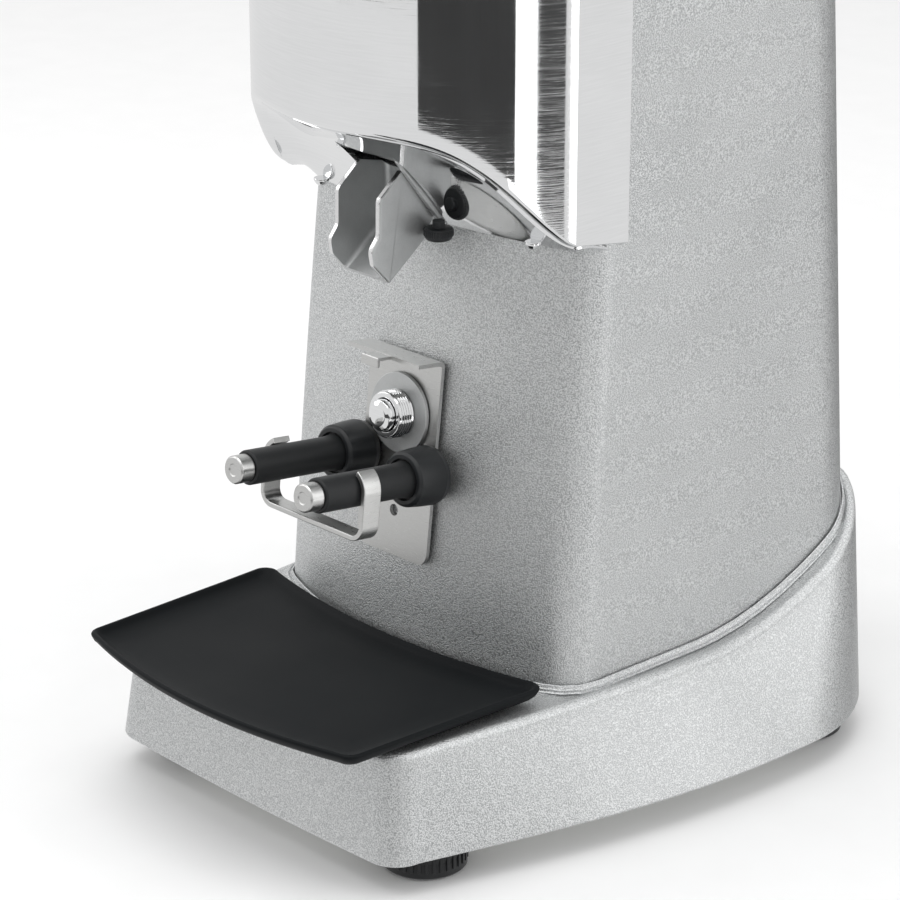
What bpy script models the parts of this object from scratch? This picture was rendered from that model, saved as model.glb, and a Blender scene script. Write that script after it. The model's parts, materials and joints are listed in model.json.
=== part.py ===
"""On-demand burr coffee grinder, built piece by piece in metres, +Z up.

X = 0 is the plane of symmetry and the front faces -Y.  The table is at z = 0.
"""

import math

import bmesh
import bpy
from mathutils import Matrix
from mathutils import Vector

MM = 0.001
GAP = 0.3 * MM  # between pieces that touch
RUN_GAP = 0.5 * MM  # between pieces that slide or turn on each other

# ---------------------------------------------------------------- overall sizes
DEPTH = 285 * MM  # tray lip to the back of the base
BASE_HALF_WIDTH = 110 * MM
FOOT_HEIGHT = 12 * MM
DECK_HEIGHT = 41 * MM  # ledge of the base above its bottom edge
BODY_HEIGHT = 269 * MM  # column, from the ledge to the top casting
HOPPER_HEIGHT = 226 * MM  # clear part of the hopper

# ------------------------------------------------------------------------- base
COLUMN_HALF_WIDTH = 79.5 * MM  # at the ledge
BASE_FRONT_HALF_WIDTH = COLUMN_HALF_WIDTH + 0.5 * MM
LEDGE_HALF_WIDTH = COLUMN_HALF_WIDTH + 10.5 * MM
LEDGE_FRONT_HALF_WIDTH = COLUMN_HALF_WIDTH - 3.5 * MM
BASE_FRONT_INSET = 24 * MM  # how far the tray overhangs the base
LEDGE_REAR_INSET = 1.5 * MM
LEDGE_REAR_CORNER = 46 * MM
LEDGE_EDGE = 3.5 * MM  # rounding of the ledge's outer edge
BASE_REAR_CORNER = 75 * MM
DECK_RISE = 40 * MM  # kick-up of the ledge behind the column
BASE_WALL = 3.5 * MM
FOOT_RADIUS = 16 * MM
FOOT_SINK = 2 * MM  # the feet stand inside the skirt by this much
FOOT_BORE = 2.9 * MM  # for its screw
PLATE_THICKNESS = 2 * MM

# ----------------------------------------------------------------------- column
COLUMN_FRONT = 94 * MM  # tray lip to the column's front, at the ledge
COLUMN_REAR_INSET = 6.5 * MM
SIDE_TAPER = 0.028
FRONT_TAPER = 0.113
REAR_TAPER = 0.047
FRONT_BOW_RADIUS = 170 * MM  # at the ledge
BOW_GROWTH = 0.54  # the bow flattens upwards
COLUMN_FRONT_CORNER = 16 * MM
COLUMN_REAR_CORNER = 29 * MM
COLUMN_WALL = 3 * MM

# ------------------------------------------------------------------ front cover
COVER_HALF_WIDTH = COLUMN_HALF_WIDTH - 2.5 * MM
COVER_FRONT = 59 * MM  # tray lip to the cover's front
COVER_BOW_RADIUS = COVER_HALF_WIDTH + 13 * MM
COVER_CORNER = 20 * MM
COVER_DEPTH = 80 * MM
COVER_WALL = 1.2 * MM
RIM_HIGH = BODY_HEIGHT - 65 * MM  # rim of the cover above the ledge, in the middle
RIM_LOW = BODY_HEIGHT - 102.5 * MM  # and at its sides
CHIN_HEIGHT = BODY_HEIGHT - 106 * MM
CHIN_COVE = 5 * MM
CHIN_WALL = 2 * MM

# ------------------------------------------------------------------------- tray
TRAY_TOP = 6.5 * MM  # lip above the ledge
TRAY_FRONT_HALF_WIDTH = 74 * MM
TRAY_REAR_HALF_WIDTH = 77.5 * MM
TRAY_FRONT_BOW = 15 * MM
TRAY_REAR_BOW = 9.5 * MM
TRAY_SIDE = 85.5 * MM
TRAY_DISH = 3.6 * MM
TRAY_LIP = 2.5 * MM

# ------------------------------------------------------- holder and start switch
PLATE_HALF_WIDTH = 19 * MM
HOOK_HEIGHT = 113 * MM  # hook plate's fold above the ledge
HOOK_PLATE_LENGTH = 78 * MM
HOOK_PLATE_WALL = 1.5 * MM
HOOK_REACH = 13 * MM
ARM_DROP = 42 * MM  # arms below the fold
ARM_HALF_SPACING = 19 * MM
ROD_RADIUS = 4.5 * MM
SLEEVE_RADIUS = 6.5 * MM
SLEEVE_LENGTH = 41 * MM
BOSS_RADIUS = 11 * MM
BOSS_LENGTH = 15 * MM
TIP_RADIUS = 5.2 * MM
TIP_LENGTH = 6 * MM
SWITCH_DROP = 23.5 * MM
BUTTON_RADIUS = 6 * MM
BUTTON_TRAVEL = 3 * MM
BEZEL_RADIUS = 9 * MM
WASHER_RADIUS = 15 * MM

# ------------------------------------------------------------- spout and its duct
SPOUT_HALF_WIDTH = 12.2 * MM
SPOUT_WALL = 2.3 * MM
SADDLE_WALL = 2.2 * MM
KNOB_RADIUS = 5.5 * MM
DUCT_HALF_WIDTH = SPOUT_HALF_WIDTH - 0.2 * MM
DUCT_WALL = 1.6 * MM
DUCT_LOW = BODY_HEIGHT - 85.5 * MM  # underside of the duct above the ledge
DUCT_HEIGHT = 21 * MM

# ------------------------------------------------------------ motor and burr set
MOTOR_RADIUS = 52 * MM
AXIS_BEHIND_FRONT = MOTOR_RADIUS + 2.603 * MM + FRONT_TAPER * BODY_HEIGHT
MOTOR_BORE = 28 * MM
AIR_GAP = 0.6 * MM
MOTOR_LOW = 33 * MM  # lower cap above the ledge
CAP_HEIGHT = 18 * MM
CAP_WALL = 9 * MM
STATOR_HEIGHT = BODY_HEIGHT - 201 * MM  # the motor fills the room below the chamber
WINDING_HEIGHT = 10 * MM
SHAFT_RADIUS = 7 * MM
BEARING_RADIUS = 17.5 * MM
BEARING_WIDTH = 11 * MM
CHAMBER_RADIUS = 44 * MM  # inside
CHAMBER_WALL = 5 * MM
CHAMBER_FLOOR = BODY_HEIGHT - 88 * MM  # above the ledge
BURR_RADIUS = 32 * MM
BURR_BORE = 18.5 * MM
BURR_THICKNESS = 8 * MM
BURR_GAP = 1.2 * MM
CARRIER_THICKNESS = 7 * MM
THROAT_RADIUS = 31 * MM

# ------------------------------------------------------------- top, collar, hopper
TOP_THICKNESS = 12 * MM
TOP_WALL = 3.5 * MM
TOP_SCREW_HOLE = 2.4 * MM
COLLAR_RADIUS = 60 * MM
COLLAR_HEIGHT = 16 * MM
HOPPER_NECK_LENGTH = 36 * MM
HOPPER_BASE_RADIUS = 42 * MM
HOPPER_BASE_HEIGHT = 22 * MM
HOPPER_RADIUS = 88 * MM
HOPPER_WALL = 2.4 * MM
GATE_THICKNESS = 2.4 * MM
GATE_HEIGHT = 14.5 * MM  # above the hopper's seat, so that it slides out over the panel
GATE_HALF_WIDTH = 29 * MM
LID_THICKNESS = 9 * MM

# ----------------------------------------------------------------- control panel
POD_HALF_WIDTH = 46 * MM
POD_LENGTH = 44 * MM
POD_LOW = 8 * MM
POD_HIGH = 28 * MM
POD_WALL = 2.5 * MM
ROCKER_TILT = math.radians(10)  # off: the lower end is pressed in
DOSE_BUTTON_RADIUS = 6 * MM
DOSE_BUTTON_SPACING = 24 * MM
DOSE_BUTTON_TRAVEL = 1.5 * MM

# ------------------------------------------------------------------- what follows
TRAY_LIP_Y = -DEPTH / 2
LEDGE_Z = FOOT_HEIGHT + DECK_HEIGHT
TOP_Z = LEDGE_Z + BODY_HEIGHT
COLUMN_FRONT_Y = TRAY_LIP_Y + COLUMN_FRONT
COLUMN_REAR_Y = DEPTH / 2 - COLUMN_REAR_INSET
SPOUT_Y = COLUMN_FRONT_Y + FRONT_TAPER * DUCT_LOW - 20.7355 * MM
AXIS_Y = COLUMN_FRONT_Y + AXIS_BEHIND_FRONT
COVER_FRONT_Y = TRAY_LIP_Y + COVER_FRONT
COVER_REAR_Y = COVER_FRONT_Y + COVER_DEPTH
RISE_START_Y = COLUMN_REAR_Y - 106 * MM
FRONT_TILT = math.atan(FRONT_TAPER)

parts = bpy.data.collections.new("burr_coffee_grinder")
cutters = bpy.data.collections.new("cutters")


def clear_scene():
    for obj in list(bpy.data.objects):
        bpy.data.objects.remove(obj, do_unlink=True)
    bpy.context.scene.collection.children.link(parts)
    bpy.context.scene.collection.children.link(cutters)


def material(name, colour, roughness, metallic=0.0, alpha=1.0):
    """A Principled material with one colour, roughness and metallic value."""
    made = bpy.data.materials.new(name)
    made.use_nodes = True
    shader = made.node_tree.nodes["Principled BSDF"]
    shader.inputs["Base Color"].default_value = (*colour, 1.0)
    shader.inputs["Roughness"].default_value = roughness
    shader.inputs["Metallic"].default_value = metallic
    shader.inputs["Alpha"].default_value = alpha
    return made


def add_object(name, mesh, finish=None, matrix=None):
    """Link a mesh as a piece, or as a cutter when it has no finish."""
    obj = bpy.data.objects.new(name, mesh)
    if finish is None:
        cutters.objects.link(obj)
        obj.hide_render = True
        obj.display_type = "WIRE"
    else:
        parts.objects.link(obj)
        obj.data.materials.append(finish)
    if matrix is not None:
        obj.matrix_world = matrix
    return obj


def finish_smooth(obj, degrees=35):
    obj.data.shade_smooth()
    obj.data.set_sharp_from_angle(angle=math.radians(degrees))
    return obj


def mesh_from(bm, name):
    mesh = bpy.data.meshes.new(name)
    bm.to_mesh(mesh)
    bm.free()
    return mesh


def at(x, y, z):
    return Matrix.Translation((x, y, z))


def box(name, size, centre, finish=None, bevel=0.0, matrix=None):
    """A box of full size (x, y, z) about its centre, with rounded edges if asked."""
    bm = bmesh.new()
    bmesh.ops.create_cube(bm, size=1.0, matrix=Matrix.Diagonal((*size, 1.0)))
    place = (matrix or Matrix()) @ Matrix.Translation(centre)
    obj = add_object(name, mesh_from(bm, name), finish, place)
    if bevel:
        round_edges(obj, bevel)
    return obj


def round_edges(obj, width, segments=2):
    modifier = obj.modifiers.new("rounded edges", "BEVEL")
    modifier.width = width
    modifier.segments = segments
    modifier.limit_method = "ANGLE"
    modifier.angle_limit = math.radians(40)
    return modifier


def turned(name, profile, place, finish=None, steps=18):
    """A turned piece: the profile runs down its outer side, and shuts on the axis or on itself."""
    bm = bmesh.new()
    points = [bm.verts.new((radius, 0.0, height)) for radius, height in profile]
    for first, second in zip(points, points[1:]):
        bm.edges.new((first, second))
    if profile[0][0] > 0:
        bm.edges.new((points[-1], points[0]))
    obj = add_object(name, mesh_from(bm, name), finish, place)
    screw = obj.modifiers.new("turned", "SCREW")
    screw.steps = steps
    screw.render_steps = steps
    screw.use_merge_vertices = True
    screw.merge_threshold = 0.00001
    screw.use_smooth_shade = True
    return obj


def disc(name, radius, low, high, place, finish=None, steps=18):
    profile = [(0, high), (radius, high), (radius, low), (0, low)]
    return turned(name, profile, place, finish, steps)


def ring(name, outer, inner, low, high, place, finish=None, steps=18):
    profile = [(outer, high), (outer, low), (inner, low), (inner, high)]
    return turned(name, profile, place, finish, steps)


def cut(obj, cutter, operation="DIFFERENCE"):
    modifier = obj.modifiers.new(cutter.name, "BOOLEAN")
    modifier.operation = operation
    modifier.solver = "EXACT"
    modifier.object = cutter
    return obj


def join_cutters(name, pieces):
    """One cutter made of several closed shapes that don't touch."""
    bpy.context.view_layer.update()
    graph = bpy.context.evaluated_depsgraph_get()
    bm = bmesh.new()
    for piece in pieces:
        mesh = bpy.data.meshes.new_from_object(piece.evaluated_get(graph))
        mesh.transform(piece.matrix_world)
        bm.from_mesh(mesh)
        bpy.data.meshes.remove(mesh)
        bpy.data.objects.remove(piece, do_unlink=True)
    return add_object(name, mesh_from(bm, name))


def solid_from_curve(name, curve, finish, matrix):
    """The welded mesh of a curve, so that it can be cut."""
    source = bpy.data.objects.new(name + " curve", curve)
    parts.objects.link(source)
    bpy.context.view_layer.update()
    graph = bpy.context.evaluated_depsgraph_get()
    mesh = bpy.data.meshes.new_from_object(source.evaluated_get(graph))
    bpy.data.objects.remove(source, do_unlink=True)
    bm = bmesh.new()
    bm.from_mesh(mesh)
    bmesh.ops.remove_doubles(bm, verts=bm.verts, dist=0.00001)
    bmesh.ops.recalc_face_normals(bm, faces=bm.faces)
    bm.to_mesh(mesh)
    bm.free()
    mesh.materials.clear()
    return add_object(name, mesh, finish, matrix)


def slab(name, outline, thickness, matrix, finish=None):
    """A flat outline in the local XY plane, made this thick about that plane."""
    curve = bpy.data.curves.new(name, "CURVE")
    curve.dimensions = "2D"
    curve.fill_mode = "BOTH"
    curve.extrude = thickness / 2
    spline = curve.splines.new("POLY")
    spline.points.add(len(outline) - 1)
    for point, (x, y) in zip(spline.points, outline):
        point.co = (x, y, 0.0, 1.0)
    spline.use_cyclic_u = True
    return solid_from_curve(name, curve, finish, matrix)


def arc(centre, radius, start, end, count):
    """Points on an arc in a plane, angles in degrees."""
    points = []
    for step in range(count + 1):
        angle = math.radians(start + (end - start) * step / count)
        x = centre[0] + radius * math.cos(angle)
        y = centre[1] + radius * math.sin(angle)
        points.append((x, y))
    return points


def loft(name, rings, finish, closed=True, cap_ends=False):
    """Quads between rows of points. Rows run anticlockwise from above, lowest row first."""
    bm = bmesh.new()
    rows = [[bm.verts.new(point) for point in row] for row in rings]
    count = len(rows[0])
    spans = count if closed else count - 1
    for low, high in zip(rows, rows[1:]):
        for index in range(spans):
            after = (index + 1) % count
            bm.faces.new((low[index], low[after], high[after], high[index]))
    if cap_ends:
        bm.faces.new(list(reversed(rows[0])))
        bm.faces.new(rows[-1])
    return add_object(name, mesh_from(bm, name), finish)


def thicken(obj, wall, offset=-1.0):
    modifier = obj.modifiers.new("wall", "SOLIDIFY")
    modifier.thickness = wall
    modifier.offset = offset
    modifier.use_even_offset = True
    modifier.use_quality_normals = True
    return modifier


def whole_outline(right_half):
    """Close a right half, front to rear, with its mirror image, anticlockwise from above."""
    left_half = [(-x, y) for x, y in reversed(right_half[1:-1])]
    return right_half + left_half


def inset(outline, distance):
    """Move each point of a closed anticlockwise outline inwards."""
    moved = []
    for index, point in enumerate(outline):
        here = Vector(point)
        before = Vector(outline[index - 1])
        after = Vector(outline[(index + 1) % len(outline)])
        first = (here - before).normalized()
        second = (after - here).normalized()
        inward = Vector((-first.y - second.y, first.x + second.x)).normalized()
        share = max(0.5, inward.dot(Vector((-first.y, first.x))))
        moved.append(tuple(here + inward * distance / share))
    return moved


def along(line, fraction):
    """The point at a fraction of a line's length."""
    lengths = [(Vector(b) - Vector(a)).length for a, b in zip(line, line[1:])]
    wanted = fraction * sum(lengths)
    for index, length in enumerate(lengths):
        if wanted <= length or index == len(lengths) - 1:
            share = min(1.0, wanted / length)
            return tuple(Vector(line[index]).lerp(Vector(line[index + 1]), share))
        wanted -= length
    return line[-1]


# ------------------------------------------------------------------ body outlines
def bowed_front(half_width, front_y, bow, corner, front_steps, corner_steps):
    """Right half of a bowed front: an arc from the middle, then the rounded corner."""
    corner_x = half_width - corner
    corner_y = front_y + bow - math.sqrt((bow - corner) ** 2 - corner_x**2)
    meet = math.atan2(corner_x, front_y + bow - corner_y)
    points = []
    for step in range(front_steps + 1):
        angle = meet * step / front_steps
        points.append((bow * math.sin(angle), front_y + bow * (1 - math.cos(angle))))
    for step in range(1, corner_steps + 1):
        angle = meet + (math.pi / 2 - meet) * step / corner_steps
        x = corner_x + corner * math.sin(angle)
        points.append((x, corner_y - corner * math.cos(angle)))
    return points


def column_half(z):
    """Right half of the column's outline at a height, front to rear."""
    rise = z - LEDGE_Z
    half_width = COLUMN_HALF_WIDTH - SIDE_TAPER * rise
    front_y = COLUMN_FRONT_Y + FRONT_TAPER * rise
    rear_y = COLUMN_REAR_Y - REAR_TAPER * rise
    bow = FRONT_BOW_RADIUS + BOW_GROWTH * rise
    points = bowed_front(half_width, front_y, bow, COLUMN_FRONT_CORNER, 6, 4)
    corner_y = rear_y - COLUMN_REAR_CORNER
    straight = points[-1][1]
    for share in (0.3, 0.45, 0.58, 0.7, 0.8, 0.9):
        points.append((half_width, straight + (corner_y - straight) * share))
    centre = (half_width - COLUMN_REAR_CORNER, corner_y)
    points += arc(centre, COLUMN_REAR_CORNER, 0, 90, 5)
    points.append((0.0, rear_y))
    return points


def column_outline(z):
    return whole_outline(column_half(z))


def deck_z(y):
    """Height of the base's ledge: level, then kicked up behind."""
    share = (y - RISE_START_Y) / (COLUMN_REAR_Y - RISE_START_Y)
    return LEDGE_Z + DECK_RISE * min(1.0, max(0.0, share)) ** 2


def column_foot(lift=0.0):
    """The column's outline where it stands on the ledge."""
    count = len(column_outline(LEDGE_Z))
    points = []
    for index in range(count):
        z = LEDGE_Z
        for _ in range(4):
            x, y = column_outline(z)[index]
            z = deck_z(y) + lift
        points.append((x, y, z))
    return points


def column_front_y(z):
    return COLUMN_FRONT_Y + FRONT_TAPER * (z - LEDGE_Z)


# --------------------------------------------------------------------------- base
def swept_half(front_y, front_half, half, widest_y, rear_y, rear_corner):
    """Right half of a plan that widens backwards and closes in a round rear corner."""
    front_corner = 12 * MM
    flank_y = front_y + 13 * MM
    points = []
    for step in range(4):
        x = (front_half - front_corner) * step / 3
        points.append((x, flank_y - front_corner - (1 - (step / 3) ** 2) * 1.5 * MM))
    points += arc((front_half - front_corner, flank_y), front_corner, -60, 0, 2)
    for step in range(1, 5):
        share = step / 4
        x = front_half + (half - front_half) * math.sin(math.pi / 2 * share)
        points.append((x, flank_y + (widest_y - flank_y) * share))
    corner_y = rear_y - rear_corner
    for share in (0.25, 0.5, 0.75):
        points.append((half, widest_y + (corner_y - widest_y) * share))
    points += arc((half - rear_corner, corner_y), rear_corner, 0, 90, 8)
    points.append((0.0, rear_y))
    return points


def base_bottom_outline():
    front_y = TRAY_LIP_Y + BASE_FRONT_INSET
    widest_y = DEPTH / 2 - 88.5 * MM
    half = BASE_HALF_WIDTH
    front_half = BASE_FRONT_HALF_WIDTH
    corner = BASE_REAR_CORNER
    return whole_outline(swept_half(front_y, front_half, half, widest_y, DEPTH / 2, corner))


def base_top_outline():
    front_y = TRAY_LIP_Y + BASE_FRONT_INSET + 4 * MM
    widest_y = DEPTH / 2 - 100 * MM
    rear_y = DEPTH / 2 - LEDGE_REAR_INSET
    half = LEDGE_HALF_WIDTH
    front_half = LEDGE_FRONT_HALF_WIDTH
    corner = LEDGE_REAR_CORNER
    return whole_outline(swept_half(front_y, front_half, half, widest_y, rear_y, corner))


def base_shoulder(outline, distance, drop):
    return [(x, y, deck_z(y) - drop) for x, y in inset(outline, distance)]


def make_base(paint, steel, rubber):
    """Open-bottomed casting with a ledge, its bottom plate and the feet."""
    bottom = base_bottom_outline()
    top = base_top_outline()
    corner = LEDGE_EDGE
    rows = [[(x, y, FOOT_HEIGHT) for x, y in bottom]]
    for share in (0.5,):
        row = []
        for (x, y), (end_x, end_y) in zip(bottom, top):
            high = deck_z(end_y) - corner
            row.append(
                (
                    x + (end_x - x) * share,
                    y + (end_y - y) * share,
                    FOOT_HEIGHT + (high - FOOT_HEIGHT) * share,
                )
            )
        rows.append(row)
    rows.append(base_shoulder(top, 0.0, corner))
    rows.append(base_shoulder(top, 0.3 * corner, 0.3 * corner))
    rows.append(base_shoulder(top, corner, 0.0))
    seat = [Vector(point) for point in column_foot()]
    middle = Vector((0.0, (COLUMN_FRONT_Y + COLUMN_REAR_Y) / 2, 0.0))
    ledge = resample_like([Vector(p) for p in rows[-1]], middle, seat)
    for share in (0.0, -0.06, -0.2):
        row = []
        for point in ledge:
            x = middle.x + (point.x - middle.x) * (1 + share)
            y = middle.y + (point.y - middle.y) * (1 + share)
            row.append((x, y, deck_z(y)))
        rows.append(row)
    base = loft("base_casting", rows, paint)
    thicken(base, BASE_WALL)
    finish_smooth(base, 40)

    plate_z = FOOT_HEIGHT + FOOT_SINK
    edge = inset(bottom, BASE_WALL + 3.0 * MM)
    plate = slab(
        "base_plate", edge, PLATE_THICKNESS, at(0, 0, plate_z + PLATE_THICKNESS / 2), steel
    )
    foot = FOOT_RADIUS
    for name, (x, y) in foot_places().items():
        profile = [
            (foot - 2 * MM, plate_z - GAP),
            (foot, plate_z - 3 * MM),
            (foot - 0.6 * MM, 1.2 * MM),
            (foot - 2 * MM, 0.0),
            (FOOT_BORE, 0.0),
            (FOOT_BORE, plate_z - GAP),
        ]
        turned(name, profile, at(x, y, 0), rubber, 14)
        top = plate_z + PLATE_THICKNESS + 9 * MM
        cut(plate, disc("plate hole", FOOT_BORE, 0, top, at(x, y, 0), None, 10))
    for index in range(5):
        y = AXIS_Y + (index - 2) * 12 * MM
        slot = box("plate vent", (60 * MM, 5 * MM, 20 * MM), (0, y, plate_z), None)
        cut(plate, slot)


def resample_like(ring_points, middle, seat):
    """Points of the column's seat, one for each ring point, at the same bearing from the middle."""
    found = []
    bearings = [math.atan2(p.y - middle.y, p.x - middle.x) for p in seat]
    for point in ring_points:
        wanted = math.atan2(point.y - middle.y, point.x - middle.x)
        best = None
        for index, start in enumerate(bearings):
            end = bearings[(index + 1) % len(bearings)]
            span = (end - start) % (2 * math.pi)
            offset = (wanted - start) % (2 * math.pi)
            if span < math.pi and offset <= span:
                share = offset / span if span else 0.0
                best = seat[index].lerp(seat[(index + 1) % len(seat)], share)
                break
        found.append(best)
    return found


def foot_places():
    rear_x = BASE_HALF_WIDTH - 30 * MM
    front_x = BASE_FRONT_HALF_WIDTH - FOOT_RADIUS - 1 * MM
    rear_y = DEPTH / 2 - 46 * MM
    front_y = TRAY_LIP_Y + BASE_FRONT_INSET + 31 * MM
    return {
        "foot_front_left": (-front_x, front_y),
        "foot_front_right": (front_x, front_y),
        "foot_rear_right": (rear_x, rear_y),
        "foot_rear_left": (-rear_x, rear_y),
    }


# ------------------------------------------------------------------------- column
def make_column(paint):
    """Tapered housing that stands on the ledge, open above and below."""
    rows = [column_foot(RUN_GAP)]
    low = deck_z(COLUMN_REAR_Y) + 14 * MM
    for share in (0.0, 0.5, 1.0):
        z = low + (TOP_Z - low) * share
        rows.append([(x, y, z) for x, y in column_outline(z)])
    column = loft("column_housing", rows, paint)
    thicken(column, COLUMN_WALL)
    finish_smooth(column, 40)
    wide = 2 * (DUCT_HALF_WIDTH + 1.5 * MM)
    duct_z = LEDGE_Z + DUCT_LOW + DUCT_HEIGHT / 2
    centre = (0, column_front_y(duct_z), duct_z)
    size = (wide, 30 * MM, DUCT_HEIGHT + 3 * MM)
    cut(column, box("duct opening", size, centre))
    hole = BEZEL_RADIUS - 2 * MM + GAP
    cut(column, disc("switch hole", hole, -20 * MM, 20 * MM, on_plate(0, SWITCH_DROP)))
    for side in (-1, 1):
        place = on_plate(side * ARM_HALF_SPACING, ARM_DROP)
        cutter = disc("arm screw hole", 2.6 * MM, -14 * MM, 14 * MM, place, None, 12)
        cut(column, cutter)
    cut(column, disc("gland hole", 7.4 * MM, -12 * MM, 12 * MM, gland_place()))
    size = (20 * MM, 21 * MM, 29 * MM)
    cut(column, box("power switch hole", size, (0, 0, 0), matrix=power_place()))
    slots = []
    for index in range(6):
        z = LEDGE_Z + 100 * MM + index * 9 * MM
        rear_y = COLUMN_REAR_Y - REAR_TAPER * (z - LEDGE_Z)
        slots.append(box("slot", (64 * MM, 20 * MM, 4 * MM), (0, rear_y, z)))
    cut(column, join_cutters("rear vents", slots))


def on_plate(x, drop, forward=0.0):
    """A frame on the leaning front: its Z axis points out of the front and slightly up."""
    fold_z = LEDGE_Z + HOOK_HEIGHT
    z = fold_z - drop * math.cos(FRONT_TILT)
    origin = Vector((x, column_front_y(z), z))
    lean = Matrix.Rotation(math.pi / 2 - FRONT_TILT, 4, "X")
    return Matrix.Translation(origin) @ lean @ Matrix.Translation((0, 0, forward))


def gland_place():
    z = LEDGE_Z + 62 * MM
    y = COLUMN_REAR_Y - REAR_TAPER * (z - LEDGE_Z)
    return at(-38 * MM, y, z) @ Matrix.Rotation(-math.pi / 2, 4, "X")


def power_place():
    """A frame on the left side whose X axis points out of the wall."""
    z = LEDGE_Z + 75 * MM
    x = COLUMN_HALF_WIDTH - SIDE_TAPER * (z - LEDGE_Z)
    return at(-x, COLUMN_REAR_Y - 31.5 * MM, z) @ Matrix.Rotation(math.pi, 4, "Z")


# ------------------------------------------------------------- chrome front cover
def cover_half(extra=0.0):
    """Right half of the cover's plan, inset by extra."""
    half = bowed_front(
        COVER_HALF_WIDTH - extra,
        COVER_FRONT_Y + extra,
        COVER_BOW_RADIUS - extra,
        COVER_CORNER - extra,
        7,
        4,
    )
    straight = half[-1][1]
    for share in (0.33, 0.67, 1.0):
        half.append((half[-1][0], straight + (COVER_REAR_Y - straight) * share))
    return half


def rim_z(y):
    """Height of the cover's lower rim: high in the middle, swept down to the sides."""
    reach = COVER_DEPTH - 22.5 * MM
    share = min(1.0, max(0.0, (y - COVER_FRONT_Y) / reach))
    swing = 0.5 * (1 + math.cos(math.pi * share**1.25))
    return LEDGE_Z + RIM_LOW + (RIM_HIGH - RIM_LOW) * swing


def make_cover(chrome):
    """Wrap-round cover over the column's upper front, open above, below and behind."""
    half = cover_half()
    line = [(-x, y) for x, y in reversed(half[1:])] + half
    rows = []
    for share in (0.0, 0.04, 0.35, 1.0):
        row = []
        for x, y in line:
            low = rim_z(y)
            row.append((x, y, low + (TOP_Z - low) * share))
        rows.append(row)
    cover = loft("front_cover", rows, chrome, closed=False)
    thicken(cover, COVER_WALL)
    finish_smooth(cover, 40)


def make_chin(chrome):
    """Coved underside between the cover's rim and the column's front."""
    edge = COVER_WALL + RUN_GAP
    outer = cover_half(edge)[:-2]
    count = 9
    front = column_half(LEDGE_Z + CHIN_HEIGHT)[:10]
    rows = []
    for level in range(5):
        row = []
        for index in range(-count, count + 1):
            side = -1 if index < 0 else 1
            share = abs(index) / count
            outer_x, outer_y = along(outer, share)
            inner_x, inner_y = along(front, share * 0.93)
            high = rim_z(outer_y) + 2 * MM
            low = LEDGE_Z + CHIN_HEIGHT + 1.5 * MM
            step = 1 - level / 4
            cove = CHIN_COVE * math.sin(math.pi * step) * (high - low) / (40 * MM)
            clear = RUN_GAP + CHIN_WALL * 0.9
            x = inner_x + (outer_x - inner_x) * step
            y = inner_y - clear + (outer_y - inner_y + clear) * step
            row.append((side * x, y, low + (high - low) * step + cove))
        rows.append(row)
    chin = loft("cover_chin", list(reversed(rows)), chrome, closed=False)
    thicken(chin, CHIN_WALL)
    finish_smooth(chin, 50)
    wide = 2 * (SPOUT_HALF_WIDTH + GAP + SADDLE_WALL + 0.7 * MM)
    low_y = SPOUT_Y - 9.5 * MM
    high_y = SPOUT_Y + 24 * MM
    size = (wide, high_y - low_y, 60 * MM)
    centre = (0, (low_y + high_y) / 2, LEDGE_Z + DUCT_LOW - 3.5 * MM)
    cut(chin, box("spout slot", size, centre))


def make_spout(cast, rubber):
    """Open-fronted chute with two side cheeks, its saddle and the thumb knob."""
    y0 = SPOUT_Y
    z0 = LEDGE_Z + DUCT_LOW
    cheek = [
        (y0 - 2.2 * MM, z0 + 1.5 * MM),
        (y0 - 12.6 * MM, z0 - 7.2 * MM),
        (y0 - 12.8 * MM, z0 - 20.5 * MM),
        (y0 - 16.5 * MM, z0 - 25.0 * MM),
        (y0 - 15.6 * MM, z0 - 30.5 * MM),
        (y0 - 8.3 * MM, z0 - 38.5 * MM),
        (y0 + 8.7 * MM, z0 - 25.5 * MM),
        (y0 + 13.0 * MM, z0 - 18.0 * MM),
        (y0 + 12.7 * MM, z0 - 4.5 * MM),
        (y0 + 8.0 * MM, z0 - GAP - 0.5 * MM),
    ]
    side_on = Matrix(((0, 0, 1, 0), (1, 0, 0, 0), (0, 1, 0, 0), (0, 0, 0, 1)))
    spout = slab("spout", cheek, 2 * SPOUT_HALF_WIDTH, side_on, cast)
    wall = SPOUT_WALL
    channel = [
        (y0 - 26.8 * MM, z0 - 50.4 * MM),
        (y0 + 7.2 * MM, z0 - 24.4 * MM + 0.5 * wall),
        (y0 + 13.0 * MM - wall, z0 - 17.4 * MM),
        (y0 + 12.7 * MM - wall, z0 - 4.0 * MM),
        (y0 + 7.0 * MM, z0 + 14 * MM),
        (y0 - 45 * MM, z0 + 14 * MM),
        (y0 - 45 * MM, z0 - 50.4 * MM),
    ]
    width = 2 * (SPOUT_HALF_WIDTH - wall)
    cut(spout, slab("spout channel", channel, width, side_on))
    round_edges(spout, 0.5 * MM, 1)

    make_saddle(cast, side_on)
    profile = [
        (0.0, 0.0),
        (2.2 * MM, 0.0),
        (2.2 * MM, -2.6 * MM),
        (KNOB_RADIUS, -3.0 * MM),
        (KNOB_RADIUS, -6.2 * MM),
        (KNOB_RADIUS - 0.9 * MM, -7.2 * MM),
        (0.0, -7.2 * MM),
    ]
    knob_x = SPOUT_HALF_WIDTH + KNOB_RADIUS + RUN_GAP
    knob_at = at(knob_x, y0 + 9.6 * MM, LEDGE_Z + CHIN_HEIGHT + 3.3 * MM)
    turned("spout_knob", profile, knob_at, rubber, 18)


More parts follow.
